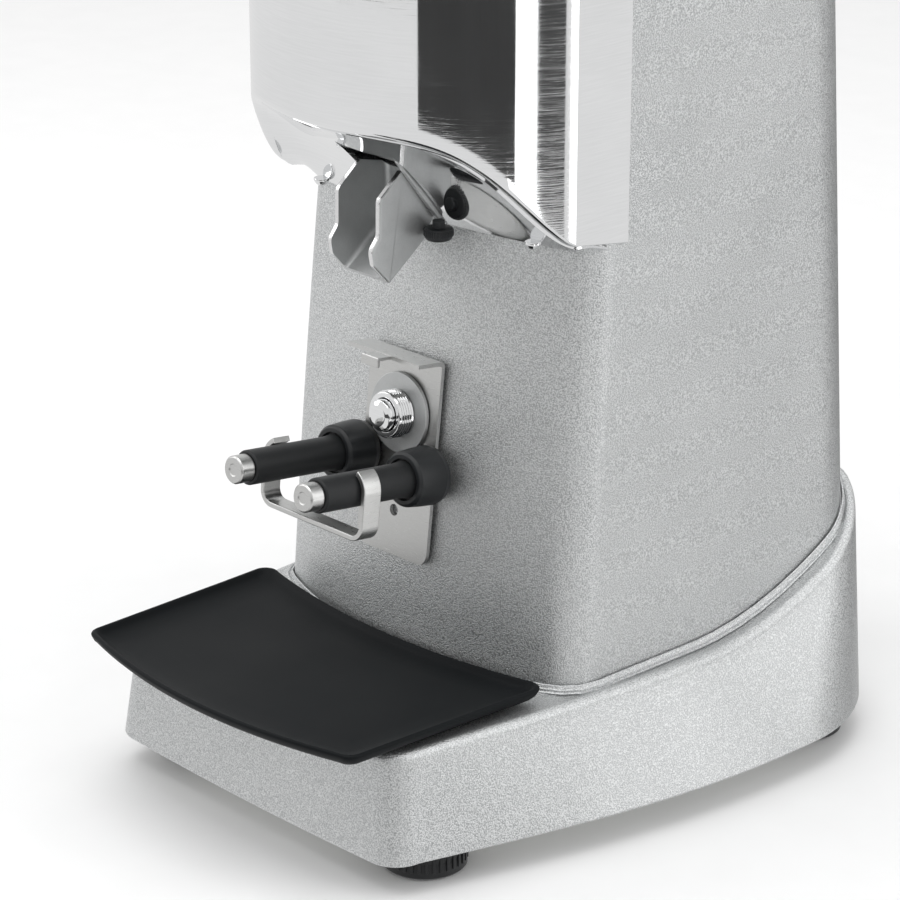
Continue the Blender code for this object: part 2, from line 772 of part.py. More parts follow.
def make_saddle(cast, side_on):
    """Two plates that hold the spout's cheeks between them, and the bridge behind it."""
    y0 = SPOUT_Y
    z0 = LEDGE_Z + DUCT_LOW
    wall = SADDLE_WALL
    inside = SPOUT_HALF_WIDTH + GAP
    outline = [
        (y0 - 6.6 * MM, z0 + 6.2 * MM),
        (y0 + 12.2 * MM, z0 - 17.6 * MM),
        (y0 + 14.6 * MM, z0 - 18.0 * MM),
    ]
    outline += arc((y0 + 14.4 * MM, z0 - 13.8 * MM), 4 * MM, -60, 0, 3)
    outline += [(y0 + 18.4 * MM, z0 - 4.5 * MM), (y0 + 2.0 * MM, z0 + 9.0 * MM)]
    middle = inside + wall / 2
    right = slab("spout_saddle", outline, wall, Matrix.Translation((middle, 0, 0)) @ side_on, cast)
    left = slab("left wing", outline, wall, Matrix.Translation((-middle, 0, 0)) @ side_on)
    cut(right, left, "UNION")
    size = (2 * inside + wall, 3 * MM, 9.4 * MM)
    centre = (0, y0 + 15.1 * MM, z0 - 9.9 * MM)
    cut(right, box("bridge", size, centre), "UNION")


def make_duct(cast):
    """Square tube that carries the grounds from the chamber's outlet to the spout."""
    low = LEDGE_Z + DUCT_LOW
    start = AXIS_Y - CHAMBER_RADIUS - CHAMBER_WALL - 1.5 * MM
    end = SPOUT_Y + 8.5 * MM
    size = (2 * DUCT_HALF_WIDTH, start - end, DUCT_HEIGHT)
    centre = (0, (start + end) / 2, low + DUCT_HEIGHT / 2)
    duct = box("exit_duct", size, centre, cast)
    wall = 2 * DUCT_WALL
    size = (size[0] - wall, size[1] * 2, size[2] - wall)
    cut(duct, box("duct bore", size, centre))


# --------------------------------------------------------------------------- tray
def tray_outline():
    """Bowed front, straight sides and a back that follows the column."""
    front = TRAY_FRONT_HALF_WIDTH
    rear = TRAY_REAR_HALF_WIDTH
    side_y = TRAY_LIP_Y + TRAY_FRONT_BOW
    corner = 3 * MM
    points = []
    for step in range(6):
        share = step / 5
        x = (front - corner) * share
        points.append((x, TRAY_LIP_Y + (TRAY_FRONT_BOW - corner) * share**2))
    points += arc((front - corner, side_y), corner, -55, 0, 2)
    points.append(((front + rear) / 2, side_y + TRAY_SIDE / 2))
    rear_y = side_y + TRAY_SIDE
    points += arc((rear - corner, rear_y - corner), corner, 5, 110, 3)
    for step in range(4, -1, -1):
        share = step / 5
        x = (rear - corner) * share
        points.append((x, rear_y - TRAY_REAR_BOW * (1 - share**2)))
    return whole_outline(points)


def shrunk(outline, distance):
    """Scale an outline towards its middle, so that its extremes move in by distance."""
    low_y = min(y for _, y in outline)
    high_y = max(y for _, y in outline)
    half_x = max(x for x, _ in outline)
    middle = (low_y + high_y) / 2
    across = 1 - distance / half_x
    along = 1 - distance / (high_y - middle)
    return [(x * across, middle + (y - middle) * along) for x, y in outline]


def make_tray(black):
    """Shallow dish that lies on the ledge and lifts off."""
    outline = tray_outline()
    bottom = LEDGE_Z + GAP
    top = LEDGE_Z + TRAY_TOP
    rows = []
    for distance, z in (
        (8 * MM, bottom),
        (1.5 * MM, bottom + 2.5 * MM),
        (0.0, top - 1.2 * MM),
        (0.6 * MM, top),
        (TRAY_LIP, top),
        (8.5 * MM, top - TRAY_DISH),
    ):
        rows.append([(x, y, z) for x, y in shrunk(outline, distance)])
    tray = loft("drip_tray", rows, black, cap_ends=True)
    finish_smooth(tray, 30)


# --------------------------------------------------------- holder and start switch
def make_holder(steel, black, chrome, plastic, cast):
    wall = HOOK_PLATE_WALL
    half = PLATE_HALF_WIDTH
    rest = GAP + 0.3 * MM  # the flat plate stands this far off the bowed front
    corner = 5 * MM
    long = HOOK_PLATE_LENGTH
    outline = [(-half, 0.0), (-half, -long + corner)]
    outline += arc((-half + corner, -long + corner), corner, 180, 270, 4)[1:]
    outline += arc((half - corner, -long + corner), corner, 270, 360, 4)
    outline.append((half, 0.0))
    plate = slab("hook_plate", outline, wall, on_plate(0, 0, rest + wall / 2), steel)
    reach = HOOK_REACH
    size = (2 * half, wall, reach)
    place = on_plate(0, 0, rest)
    cut(plate, box("fold", size, (0, -wall / 2, reach / 2), matrix=place), "UNION")
    tab = (9 * MM, wall * 0.8, 8 * MM)
    centre = (0, -wall / 2, reach + 2.5 * MM)
    cut(plate, box("tab", tab, centre, matrix=place), "UNION")
    lip = (9 * MM, 3.4 * MM, 1.2 * MM)
    centre = (0, -wall / 2 - 1.3 * MM, reach + 6 * MM)
    cut(plate, box("tab lip", lip, centre, matrix=place), "UNION")
    hole = disc("plate fixing hole", 2.2 * MM, -9 * MM, 9 * MM, on_plate(0, 61 * MM), None, 12)
    cut(plate, hole)
    hole = disc("switch way", BEZEL_RADIUS - 1.5 * MM, -9 * MM, 9 * MM, on_plate(0, SWITCH_DROP))
    cut(plate, hole)

    face = rest + wall + GAP
    boss_end = face + BOSS_LENGTH
    sleeve_end = boss_end + SLEEVE_LENGTH
    for side, word in ((-1, "left"), (1, "right")):
        way = on_plate(side * ARM_HALF_SPACING, ARM_DROP)
        cutter = disc("arm way", 2.6 * MM, -9 * MM, 9 * MM, way, None, 12)
        cut(plate, cutter)
        profile = [
            (BOSS_RADIUS - 2 * MM, boss_end),
            (BOSS_RADIUS, boss_end - 2 * MM),
            (BOSS_RADIUS, face + 1 * MM),
            (BOSS_RADIUS - 1 * MM, face),
            (ROD_RADIUS + GAP, face),
            (ROD_RADIUS + GAP, boss_end),
        ]
        turned("fork_boss_" + word, profile, way, plastic, 18)
        profile = [
            (SLEEVE_RADIUS - 0.7 * MM, sleeve_end),
            (SLEEVE_RADIUS, sleeve_end - 0.7 * MM),
            (SLEEVE_RADIUS, boss_end + GAP),
            (ROD_RADIUS + GAP, boss_end + GAP),
            (ROD_RADIUS + GAP, sleeve_end),
        ]
        turned("fork_sleeve_" + word, profile, way, black, 16)
        tip = sleeve_end + GAP
        profile = [
            (0.0, tip + TIP_LENGTH),
            (TIP_RADIUS - 0.6 * MM, tip + TIP_LENGTH),
            (TIP_RADIUS, tip + TIP_LENGTH - 0.6 * MM),
            (TIP_RADIUS, tip),
            (ROD_RADIUS, tip),
            (ROD_RADIUS, face + 0.5 * MM),
            (2.3 * MM, face + 0.5 * MM),
            (2.3 * MM, -9 * MM),
            (0.0, -9 * MM),
        ]
        turned("fork_rod_" + word, profile, way, steel, 16)

    strap = 2 * MM
    inside = SLEEVE_RADIUS + RUN_GAP
    outer = inside + strap
    centre = ARM_HALF_SPACING
    path = arc((centre, 0), outer, 60, -90, 6)
    hang = 9 * MM
    shape = [(x, y) for x, y in path[:3]]
    shape += [(centre + outer, -inside - hang + 5 * MM)]
    shape += arc((centre + outer - 6 * MM, -inside - hang + 4 * MM), 6 * MM, -15, -90, 4)
    inner = arc((centre + outer - 6 * MM, -inside - hang + 4 * MM), 4 * MM, -90, -15, 4)
    back = [(centre + inside, -inside - hang + 5 * MM)]
    back += arc((centre, 0), inside, 0, 60, 2)
    mirrored = [(-x, y) for x, y in reversed(shape)]
    mirrored_back = [(-x, y) for x, y in reversed(inner + back)]
    loop = shape + mirrored + mirrored_back + inner + back
    place = on_plate(0, ARM_DROP, boss_end + 22 * MM)
    slab("fork_brace", loop, 8 * MM, place, steel)

    way = on_plate(0, SWITCH_DROP)
    low = rest + wall + GAP
    profile = [
        (WASHER_RADIUS - 0.5 * MM, low + 1.6 * MM),
        (WASHER_RADIUS, low + 1.1 * MM),
        (WASHER_RADIUS, low),
        (BEZEL_RADIUS - 1.6 * MM, low),
        (BEZEL_RADIUS - 1.6 * MM, low + 1.6 * MM),
    ]
    turned("switch_washer", profile, way, cast, 22)
    seat = low + 1.6 * MM + GAP
    neck = BEZEL_RADIUS - 2.2 * MM
    bore = BUTTON_RADIUS + 0.35 * MM
    profile = [
        (BEZEL_RADIUS - 1 * MM, seat + 6.5 * MM),
        (BEZEL_RADIUS, seat + 5.5 * MM),
        (BEZEL_RADIUS, seat),
        (neck, seat),
        (neck, -7 * MM),
        (bore, -7 * MM),
        (bore, seat + 6.5 * MM),
    ]
    turned("switch_bezel", profile, way, chrome, 18)
    head = seat + 6.5 * MM + BUTTON_TRAVEL + 0.4 * MM
    stem = 2.5 * MM
    profile = [
        (0.0, head),
        (BUTTON_RADIUS - 1.2 * MM, head - 0.2 * MM),
        (BUTTON_RADIUS, head - 1.2 * MM),
        (BUTTON_RADIUS, seat),
        (stem, seat),
        (stem, -8 * MM),
        (0.0, -8 * MM),
    ]
    turned("start_button", profile, way, chrome, 16)
    switch_top = -8 * MM - BUTTON_TRAVEL - 0.4 * MM
    size = (12 * MM, 21 * MM, 6 * MM)
    switch = box("start_switch", size, (0, 0, switch_top - 3 * MM), plastic, matrix=way)
    leg = -switch_top - COLUMN_WALL - RUN_GAP + 2 * MM
    for drop in (-9 * MM, 9 * MM):
        centre = (0, drop, switch_top - 2 * MM + leg / 2)
        cut(switch, box("switch leg", (10 * MM, 2.4 * MM, leg), centre, matrix=way), "UNION")


# ------------------------------------------------------------- motor and burr set
def make_motor(cast, laminations, copper, steel, zinc):
    centre = at(0, AXIS_Y, 0)
    low = LEDGE_Z + MOTOR_LOW
    cap_top = low + CAP_HEIGHT
    stator = cap_top + GAP
    stator_top = stator + STATOR_HEIGHT
    upper = stator_top + GAP
    upper_top = LEDGE_Z + CHAMBER_FLOOR - 10 * MM - GAP
    seat = BEARING_RADIUS + GAP
    floor = 4 * MM
    profile = [
        (MOTOR_RADIUS, cap_top),
        (MOTOR_RADIUS, low + 2 * MM),
        (MOTOR_RADIUS - 2 * MM, low),
        (seat - 4 * MM, low),
        (seat - 4 * MM, low + 2.5 * MM),
        (seat, low + 2.5 * MM),
        (seat, low + 2.5 * MM + BEARING_WIDTH),
        (seat + 3 * MM, low + 2.5 * MM + BEARING_WIDTH),
        (seat + 3 * MM, low + floor),
        (MOTOR_RADIUS - CAP_WALL, low + floor),
        (MOTOR_RADIUS - CAP_WALL, cap_top),
    ]
    turned("motor_cap_lower", profile, centre, cast)
    bearing_low = low + 2.5 * MM + GAP
    shaft_hole = SHAFT_RADIUS + GAP
    ring(
        "bearing_lower",
        BEARING_RADIUS,
        shaft_hole,
        bearing_low,
        bearing_low + BEARING_WIDTH - 2 * GAP,
        centre,
        zinc,
    )
    ring("stator_core", MOTOR_RADIUS, MOTOR_BORE, stator, stator_top, centre, laminations, 24)
    coil_out = MOTOR_RADIUS - CAP_WALL - 1.5 * MM
    coil_in = MOTOR_BORE + 1.5 * MM
    for word, end, way in (("lower", stator - GAP, -1), ("upper", stator_top + GAP, 1)):
        far = end + way * WINDING_HEIGHT
        high, deep = max(end, far), min(end, far)
        soft = 2.5 * MM
        profile = [
            (coil_out - soft, high),
            (coil_out, high - soft),
            (coil_out, deep + soft),
            (coil_out - soft, deep),
            (coil_in + soft, deep),
            (coil_in, deep + soft),
            (coil_in, high - soft),
            (coil_in + soft, high),
        ]
        turned("winding_" + word, profile, centre, copper, 16)
    profile = [
        (MOTOR_RADIUS - 2 * MM, upper_top),
        (MOTOR_RADIUS, upper_top - 2 * MM),
        (MOTOR_RADIUS, upper),
        (MOTOR_RADIUS - CAP_WALL, upper),
        (MOTOR_RADIUS - CAP_WALL, upper_top - 5 * MM),
        (seat + 3 * MM, upper_top - 5 * MM),
        (seat + 3 * MM, upper_top - 2.5 * MM - BEARING_WIDTH),
        (seat, upper_top - 2.5 * MM - BEARING_WIDTH),
        (seat, upper_top - 2.5 * MM),
        (seat - 4 * MM, upper_top - 2.5 * MM),
        (seat - 4 * MM, upper_top),
    ]
    turned("motor_cap_upper", profile, centre, cast)
    bearing_high = upper_top - 2.5 * MM - GAP
    ring(
        "bearing_upper",
        BEARING_RADIUS,
        shaft_hole,
        bearing_high - BEARING_WIDTH + 2 * GAP,
        bearing_high,
        centre,
        zinc,
    )
    rotor = MOTOR_BORE - AIR_GAP
    disc_ring = (rotor, SHAFT_RADIUS + GAP, stator, stator_top)
    ring("rotor_core", *disc_ring, centre, steel)
    top = LEDGE_Z + CHAMBER_FLOOR + 13.5 * MM
    profile = [
        (0.0, top),
        (4.5 * MM, top),
        (4.5 * MM, top - 12 * MM),
        (SHAFT_RADIUS, top - 12 * MM),
        (SHAFT_RADIUS, low + 2 * MM),
        (0.0, low + 2 * MM),
    ]
    turned("motor_shaft", profile, centre, steel)


def make_grinder(cast, steel):
    centre = at(0, AXIS_Y, 0)
    floor = LEDGE_Z + CHAMBER_FLOOR
    inside = CHAMBER_RADIUS
    outside = inside + CHAMBER_WALL
    top = TOP_Z - GAP
    profile = [
        (outside, top),
        (outside, floor - 10 * MM),
        (SHAFT_RADIUS + 1 * MM, floor - 10 * MM),
        (SHAFT_RADIUS + 1 * MM, floor),
        (inside, floor),
        (inside, top),
    ]
    chamber = turned("grind_chamber", profile, centre, cast, 28)
    size = (2 * (DUCT_HALF_WIDTH - DUCT_WALL), 30 * MM, DUCT_HEIGHT - 2 * DUCT_WALL)
    outlet_z = LEDGE_Z + DUCT_LOW + DUCT_HEIGHT / 2
    cut(chamber, box("outlet", size, (0, AXIS_Y - inside, outlet_z)))

    low = floor + 5 * MM
    seat = low + CARRIER_THICKNESS
    bore = 4.5 * MM + GAP
    profile = [
        (0.0, seat + 7 * MM),
        (7 * MM, seat + 6 * MM),
        (9 * MM, seat + 2 * MM),
        (BURR_BORE - 1.5 * MM, seat),
        (BURR_RADIUS + 3 * MM, seat),
        (BURR_RADIUS + 3 * MM, low),
        (11 * MM, low),
        (11 * MM, floor + 1.8 * MM),
        (bore, floor + 1.8 * MM),
        (bore, seat + 2 * MM),
        (0.0, seat + 2 * MM),
    ]
    carrier = turned("lower_burr_carrier", profile, centre, steel)
    vane = (2 * (inside - 1.5 * MM), 5 * MM, 3.5 * MM)
    hub = disc("vane hub", BURR_RADIUS + 1 * MM, low - 9 * MM, seat + 9 * MM, centre)
    vanes = box("sweeper vanes", vane, (0, AXIS_Y, low + 2.2 * MM))
    cut(vanes, hub)
    cut(carrier, vanes, "UNION")

    make_burr("lower_burr", seat + GAP, 1, steel)
    upper_face = seat + GAP + BURR_THICKNESS + BURR_GAP
    make_burr("upper_burr", upper_face + BURR_THICKNESS, -1, steel)
    base = upper_face + BURR_THICKNESS + GAP
    thread = inside - RUN_GAP
    high = TOP_Z + TOP_THICKNESS + 10 * MM
    profile = [
        (thread - 4 * MM, high),
        (thread - 4 * MM, TOP_Z - 20 * MM),
        (thread, TOP_Z - 22 * MM),
        (thread, base + 2 * MM),
        (thread - 2 * MM, base),
        (BURR_BORE + 0.5 * MM, base),
        (BURR_BORE + 1.5 * MM, base + 6 * MM),
        (THROAT_RADIUS, base + 16 * MM),
        (THROAT_RADIUS, high),
    ]
    turned("upper_burr_carrier", profile, centre, cast, 28)


def make_burr(name, seat, way, steel):
    """A flat ring burr; seat is its mounting face and its cutting face lies way * thickness off."""
    centre = at(0, AXIS_Y, seat)
    if way < 0:
        centre = centre @ Matrix.Rotation(math.pi, 4, "X")
    thick = BURR_THICKNESS
    profile = [
        (BURR_RADIUS, thick),
        (BURR_RADIUS, 0.0),
        (BURR_BORE, 0.0),
        (BURR_BORE, thick - 3.5 * MM),
        (BURR_BORE + 8 * MM, thick),
    ]
    burr = turned(name, profile, centre, steel, 24)
    grooves = []
    for degrees in (70, 110, 190, 230, 310, 350):
        turn = Matrix.Rotation(math.radians(way * degrees), 4, "Z")
        skew = Matrix.Rotation(math.radians(18), 4, "Z")
        shift = Matrix.Translation((BURR_RADIUS - 2 * MM, 0, thick))
        pose = centre @ turn @ shift @ skew
        grooves.append(box("groove", (9 * MM, 1.6 * MM, 1.4 * MM), (0, 0, 0), matrix=pose))
    for index in range(3):
        turn = Matrix.Rotation(math.radians(way * (30 + 120 * index)), 4, "Z")
        radius = (BURR_RADIUS + BURR_BORE) / 2
        pose = centre @ turn @ Matrix.Translation((radius, 0, 0))
        profile = [
            (0.0, thick + 1 * MM),
            (3.3 * MM, thick + 1 * MM),
            (3.3 * MM, thick - 1.6 * MM),
            (1.9 * MM, thick - 3.4 * MM),
            (1.9 * MM, -1 * MM),
            (0.0, -1 * MM),
        ]
        grooves.append(turned("screw way", profile, pose, None, 8))
    cut(burr, join_cutters(name + " grooves", grooves))


# ------------------------------------------------------------- top, collar, hopper
def top_half():
    front = cover_half()[:-3]
    rear = column_half(TOP_Z)[-8:]
    return front + rear


def make_top(paint):
    """Casting that closes the body, with a hole for the collar's thread."""
    outline = whole_outline(top_half())
    bottom = TOP_Z + GAP
    top = TOP_Z + TOP_THICKNESS
    corner = 5 * MM
    rows = [[(x, y, bottom) for x, y in outline]]
    rows.append([(x, y, top - corner) for x, y in outline])
    rows.append([(x, y, top - 0.3 * corner) for x, y in inset(outline, 0.3 * corner)])
    rows.append([(x, y, top) for x, y in inset(outline, corner)])
    inner = CHAMBER_RADIUS - 8 * MM
    row = []
    for x, y in outline:
        bearing = math.atan2(y - AXIS_Y, x)
        row.append((inner * math.cos(bearing), AXIS_Y + inner * math.sin(bearing), top))
    rows.append(row)
    deck = loft("top_casting", rows, paint)
    thicken(deck, TOP_WALL)
    finish_smooth(deck, 40)
    hole = CHAMBER_RADIUS + RUN_GAP
    cut(deck, disc("collar hole", hole, bottom, top + 9 * MM, at(0, AXIS_Y, 0), None, 32))
    for x, y in top_screw_places():
        place = at(x, y, 0)
        cut(deck, disc("screw hole", TOP_SCREW_HOLE, bottom, top + 5 * MM, place, None, 10))


def top_screw_places():
    front_x = COVER_HALF_WIDTH - 17 * MM
    rear_y = COLUMN_REAR_Y - 46 * MM
    front_y = COVER_REAR_Y + 1.5 * MM
    rear_x = front_x - 3 * MM
    return [(-front_x, front_y), (front_x, front_y), (-rear_x, rear_y), (rear_x, rear_y)]


def make_collar(black):
    """Adjusting collar with finger notches, a nut on the upper carrier's left-hand thread."""
    low = TOP_Z + TOP_THICKNESS + GAP
    high = low + COLLAR_HEIGHT
    bore = CHAMBER_RADIUS - 4 * MM + RUN_GAP
    profile = [
        (COLLAR_RADIUS - 2 * MM, high),
        (COLLAR_RADIUS, high - 2 * MM),
        (COLLAR_RADIUS, low),
        (bore, low),
        (bore, high),
    ]
    collar = turned("adjusting_collar", profile, at(0, AXIS_Y, 0), black, 32)
    notches = []
    count = 12
    for index in range(count):
        angle = 2 * math.pi * (index + 0.5) / count
        x = (COLLAR_RADIUS + 4 * MM) * math.cos(angle)
        y = AXIS_Y + (COLLAR_RADIUS + 4 * MM) * math.sin(angle)
        notches.append(disc("notch", 7 * MM, low + 4 * MM, high + 5 * MM, at(x, y, 0), None, 8))
    cut(collar, join_cutters("notches", notches))
    return high


def make_hopper(collar_top, smoke, black):
    centre = at(0, AXIS_Y, 0)
    seat = collar_top + RUN_GAP
    base_top = seat + HOPPER_BASE_HEIGHT
    neck = THROAT_RADIUS - RUN_GAP
    bore = neck - 3 * MM
    radius = HOPPER_BASE_RADIUS
    profile = [
        (radius - 1.5 * MM, base_top),
        (radius, base_top - 1.5 * MM),
        (radius, seat),
        (neck, seat),
        (neck, seat - HOPPER_NECK_LENGTH),
        (bore, seat - HOPPER_NECK_LENGTH),
        (bore, base_top),
    ]
    base = turned("hopper_base", profile, centre, black, 28)
    gate_z = seat + GATE_HEIGHT
    slot = GATE_THICKNESS + 2 * RUN_GAP
    wide = 2 * (GATE_HALF_WIDTH + RUN_GAP)
    back = AXIS_Y + GATE_HALF_WIDTH + 2 * MM
    front = AXIS_Y - radius - 5 * MM
    size = (wide, back - front, slot)
    cut(base, box("gate slot", size, (0, (back + front) / 2, gate_z)))
    gate_back = AXIS_Y + GATE_HALF_WIDTH
    gate_front = AXIS_Y - radius - 14 * MM
    size = (2 * GATE_HALF_WIDTH, gate_back - gate_front, GATE_THICKNESS)
    centre_y = (gate_back + gate_front) / 2
    gate = box("hopper_gate", size, (0, centre_y, gate_z), black)
    pull = (2 * GATE_HALF_WIDTH, 4 * MM, 9 * MM)
    cut(gate, box("gate pull", pull, (0, gate_front + 2 * MM, gate_z + 3 * MM)), "UNION")
    round_edges(gate, 0.6 * MM, 1)

    low = base_top + GAP
    high = low + HOPPER_HEIGHT
    wall = HOPPER_WALL
    wide = HOPPER_RADIUS
    slope = [
        (bore + 3 * MM, low),
        (bore + 8 * MM, low + 12 * MM),
        (wide - 14 * MM, low + 66 * MM),
        (wide - 3 * MM, low + 86 * MM),
        (wide, low + 104 * MM),
    ]
    outer = [(wide, high)] + list(reversed(slope))
    inner = [(r - wall, z) for r, z in slope] + [(wide - wall, high)]
    inner[0] = (bore + 3 * MM - wall, low)
    shell = turned("hopper_shell", outer + inner, centre, smoke, 28)
    finish_smooth(shell, 40)
    lid = high + GAP
    plug = wide - wall - 0.8 * MM
    profile = [
        (0.0, lid + LID_THICKNESS),
        (wide - 4 * MM, lid + LID_THICKNESS - 1 * MM),
        (wide, lid + LID_THICKNESS - 4 * MM),
        (wide, lid),
        (plug, lid),
        (plug, lid - 8 * MM),
        (plug - 2 * MM, lid - 8 * MM),
        (plug - 2 * MM, lid + 1.5 * MM),
        (0.0, lid + 1.5 * MM),
    ]
    turned("hopper_lid", profile, centre, black, 28)


# ----------------------------------------------------------------- control panel
def pod_place():
    """A frame on the sloping face of the panel, Z out of the face and Y up it."""
    y = COVER_FRONT_Y + 6 * MM
    z = TOP_Z + TOP_THICKNESS + GAP
    rise = POD_HIGH - POD_LOW
    run = POD_LENGTH - 6 * MM
    tilt = math.atan2(rise, run)
    middle = Vector((0, y + run / 2, z + (POD_LOW + POD_HIGH) / 2))
    return Matrix.Translation(middle) @ Matrix.Rotation(tilt, 4, "X")


def make_pod(plastic, glass, steel):
    y = COVER_FRONT_Y + 6 * MM
    z = TOP_Z + TOP_THICKNESS + GAP
    side_on = Matrix(((0, 0, 1, 0), (1, 0, 0, 0), (0, 1, 0, 0), (0, 0, 0, 1)))
    back = y + POD_LENGTH
    shape = [(y, z), (y, z + POD_LOW), (back - 6 * MM, z + POD_HIGH)]
    shape += [(back, z + POD_HIGH), (back, z)]
    pod = slab("control_pod", shape, 2 * POD_HALF_WIDTH, side_on, plastic)
    round_edges(pod, 1.5 * MM)
    wall = POD_WALL
    hollow = [
        (y + wall, z - 5 * MM),
        (y + wall, z + POD_LOW - 1.4 * wall),
        (back - 6 * MM - 0.5 * wall, z + POD_HIGH - 1.2 * wall),
        (back - wall, z + POD_HIGH - 1.2 * wall),
        (back - wall, z - 5 * MM),
    ]
    width = 2 * (POD_HALF_WIDTH - wall)
    cut(pod, slab("pod hollow", hollow, width, side_on))
    face = pod_place()
    pane = (52 * MM, 15 * MM, 1.6 * MM)
    pane_y = 9.5 * MM
    recess = (pane[0] + 2 * GAP, pane[1] + 2 * GAP, 2 * 1.2 * MM)
    cut(pod, box("display recess", recess, (0, pane_y, 0), matrix=face))
    lift = -1.2 * MM + GAP + pane[2] / 2
    box("display_pane", pane, (0, pane_y, lift), glass, matrix=face)
    names = ("dose_button_single", "dose_button_double", "dose_button_menu")
    for index, name in enumerate(names):
        x = (index - 1) * DOSE_BUTTON_SPACING
        way = face @ Matrix.Translation((x, -9.5 * MM, 0))
        hole = DOSE_BUTTON_RADIUS + 0.35 * MM
        cut(pod, disc("button hole", hole, -6 * MM, 6 * MM, way, None, 18))
        head = DOSE_BUTTON_TRAVEL + 0.6 * MM
        profile = [
            (0.0, head),
            (DOSE_BUTTON_RADIUS - 0.8 * MM, head - 0.1 * MM),
            (DOSE_BUTTON_RADIUS, head - 0.8 * MM),
            (DOSE_BUTTON_RADIUS, -3.4 * MM),
            (0.0, -3.4 * MM),
        ]
        turned(name, profile, way, steel, 18)


# ------------------------------------------------------------------- electric parts
def make_electrics(plastic, black, board_green, cast):
    place = power_place()
    size = (2.4 * MM, 24 * MM, 32 * MM)
    frame = box("power_switch_frame", size, (1.8 * MM, 0, 0), plastic, matrix=place)
    size = (20 * MM, 19.6 * MM, 27.6 * MM)
    cut(frame, box("switch body", size, (-8.5 * MM, 0, 0), matrix=place), "UNION")
    pocket = (16 * MM, 15 * MM, 22 * MM)
    cut(frame, box("rocker pocket", pocket, (2 * MM, 0, 0), matrix=place))
    axle = place @ Matrix.Rotation(-math.pi / 2, 4, "X")
    axle = axle @ Matrix.Rotation(ROCKER_TILT, 4, "Z")
    shape = [
        (-3.2 * MM, -8.6 * MM),
        (1.2 * MM, -8.6 * MM),
        (4.6 * MM, -8.6 * MM),
        (2.8 * MM, 0.0),
        (4.6 * MM, 8.6 * MM),
        (-3.2 * MM, 8.6 * MM),
    ]
    slab("power_rocker", shape, 14 * MM, axle, black)

    way = gland_place()
    profile = [
        (6 * MM, 9 * MM),
        (9.5 * MM, 6 * MM),
        (9.5 * MM, RUN_GAP + 0.4 * MM),
        (6.8 * MM, RUN_GAP + 0.4 * MM),
        (6.8 * MM, -9 * MM),
        (4 * MM, -9 * MM),
        (4 * MM, 9 * MM),
    ]
    turned("cord_gland", profile, way, plastic, 20)

    z = FOOT_HEIGHT + FOOT_SINK + PLATE_THICKNESS + 1.5 * MM
    profile = [
        (0.0, z + 52 * MM),
        (16 * MM, z + 52 * MM),
        (17.5 * MM, z + 50 * MM),
        (17.5 * MM, z),
        (0.0, z),
    ]
    capacitor_y = COLUMN_REAR_Y - 46 * MM
    turned("run_capacitor", profile, at(31 * MM, capacitor_y, 0), cast, 20)

    board_y = COLUMN_REAR_Y - 30 * MM
    board_z = FOOT_HEIGHT + FOOT_SINK + PLATE_THICKNESS + 28.5 * MM
    centre = (-22 * MM, board_y, board_z)
    board = box("control_board", (56 * MM, 1.6 * MM, 54 * MM), centre, board_green)
    for x, z, wide, deep, high in (
        (-40, -13, 15, 10, 19),
        (-16, -11, 20, 12, 24),
        (-38, 13, 18, 8, 18),
        (-10, 14, 12, 6, 12),
    ):
        size = (wide * MM, deep * MM, high * MM)
        spot = (x * MM, board_y - deep * MM / 2, board_z + z * MM)
        cut(board, box("board part", size, spot), "UNION")


def make_chin_screws(chrome):
    """Two button-headed screws under the chin."""
    z = LEDGE_Z + CHIN_HEIGHT + 0.5 * MM
    profile = [(0.0, 0.0), (3 * MM, 0.0), (3 * MM, -1.5 * MM), (2 * MM, -2.6 * MM), (0.0, -2.8 * MM)]
    for side, word in ((-1, "left"), (1, "right")):
        place = at(side * 56 * MM, column_front_y(z) + 0.8 * MM, z)
        turned("chin_screw_" + word, profile, place, chrome, 12)


def main():
    clear_scene()
    paint = material("silver paint", (0.62, 0.62, 0.61), 0.42, 0.75)
    chrome = material("chrome", (0.78, 0.78, 0.78), 0.08, 1.0)
    brushed = material("brushed steel", (0.62, 0.62, 0.61), 0.32, 1.0)
    cast = material("cast aluminium", (0.42, 0.43, 0.43), 0.48, 0.9)
    black_matt = material("matt black", (0.02, 0.021, 0.022), 0.6)
    black_plastic = material("black plastic", (0.016, 0.016, 0.017), 0.45)
    rubber = material("black rubber", (0.012, 0.012, 0.012), 0.75)
    zinc = material("zinc plate", (0.55, 0.55, 0.52), 0.35, 1.0)
    laminations = material("motor laminations", (0.2, 0.2, 0.21), 0.5, 0.9)
    copper = material("copper windings", (0.45, 0.16, 0.05), 0.35, 0.9)
    smoke = material("clear hopper", (0.5, 0.5, 0.5), 0.08, 0.0, 0.3)
    glass = material("display glass", (0.02, 0.03, 0.04), 0.05)
    green = material("circuit board", (0.02, 0.16, 0.06), 0.5)

    make_base(paint, brushed, rubber)
    make_column(paint)
    make_cover(chrome)
    make_chin(chrome)
    make_chin_screws(chrome)
    make_spout(cast, rubber)
    make_duct(cast)
    make_tray(black_matt)
    make_holder(brushed, rubber, chrome, black_plastic, cast)
    make_motor(cast, laminations, copper, brushed, zinc)
    make_grinder(cast, brushed)
    make_top(paint)
    collar_top = make_collar(black_plastic)
    make_hopper(collar_top, smoke, black_plastic)
    make_pod(black_plastic, glass, brushed)
    make_electrics(black_plastic, black_plastic, green, zinc)


main()
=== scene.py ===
"""Fine meshes, finishes, studio light and camera for an upright burr coffee grinder.

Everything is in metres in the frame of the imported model: X = 0 is the plane of symmetry,
the front faces -Y and the machine stands on z = 0.
"""

import json
import math

import bpy
from mathutils import Euler
from mathutils import Matrix
from mathutils import Vector


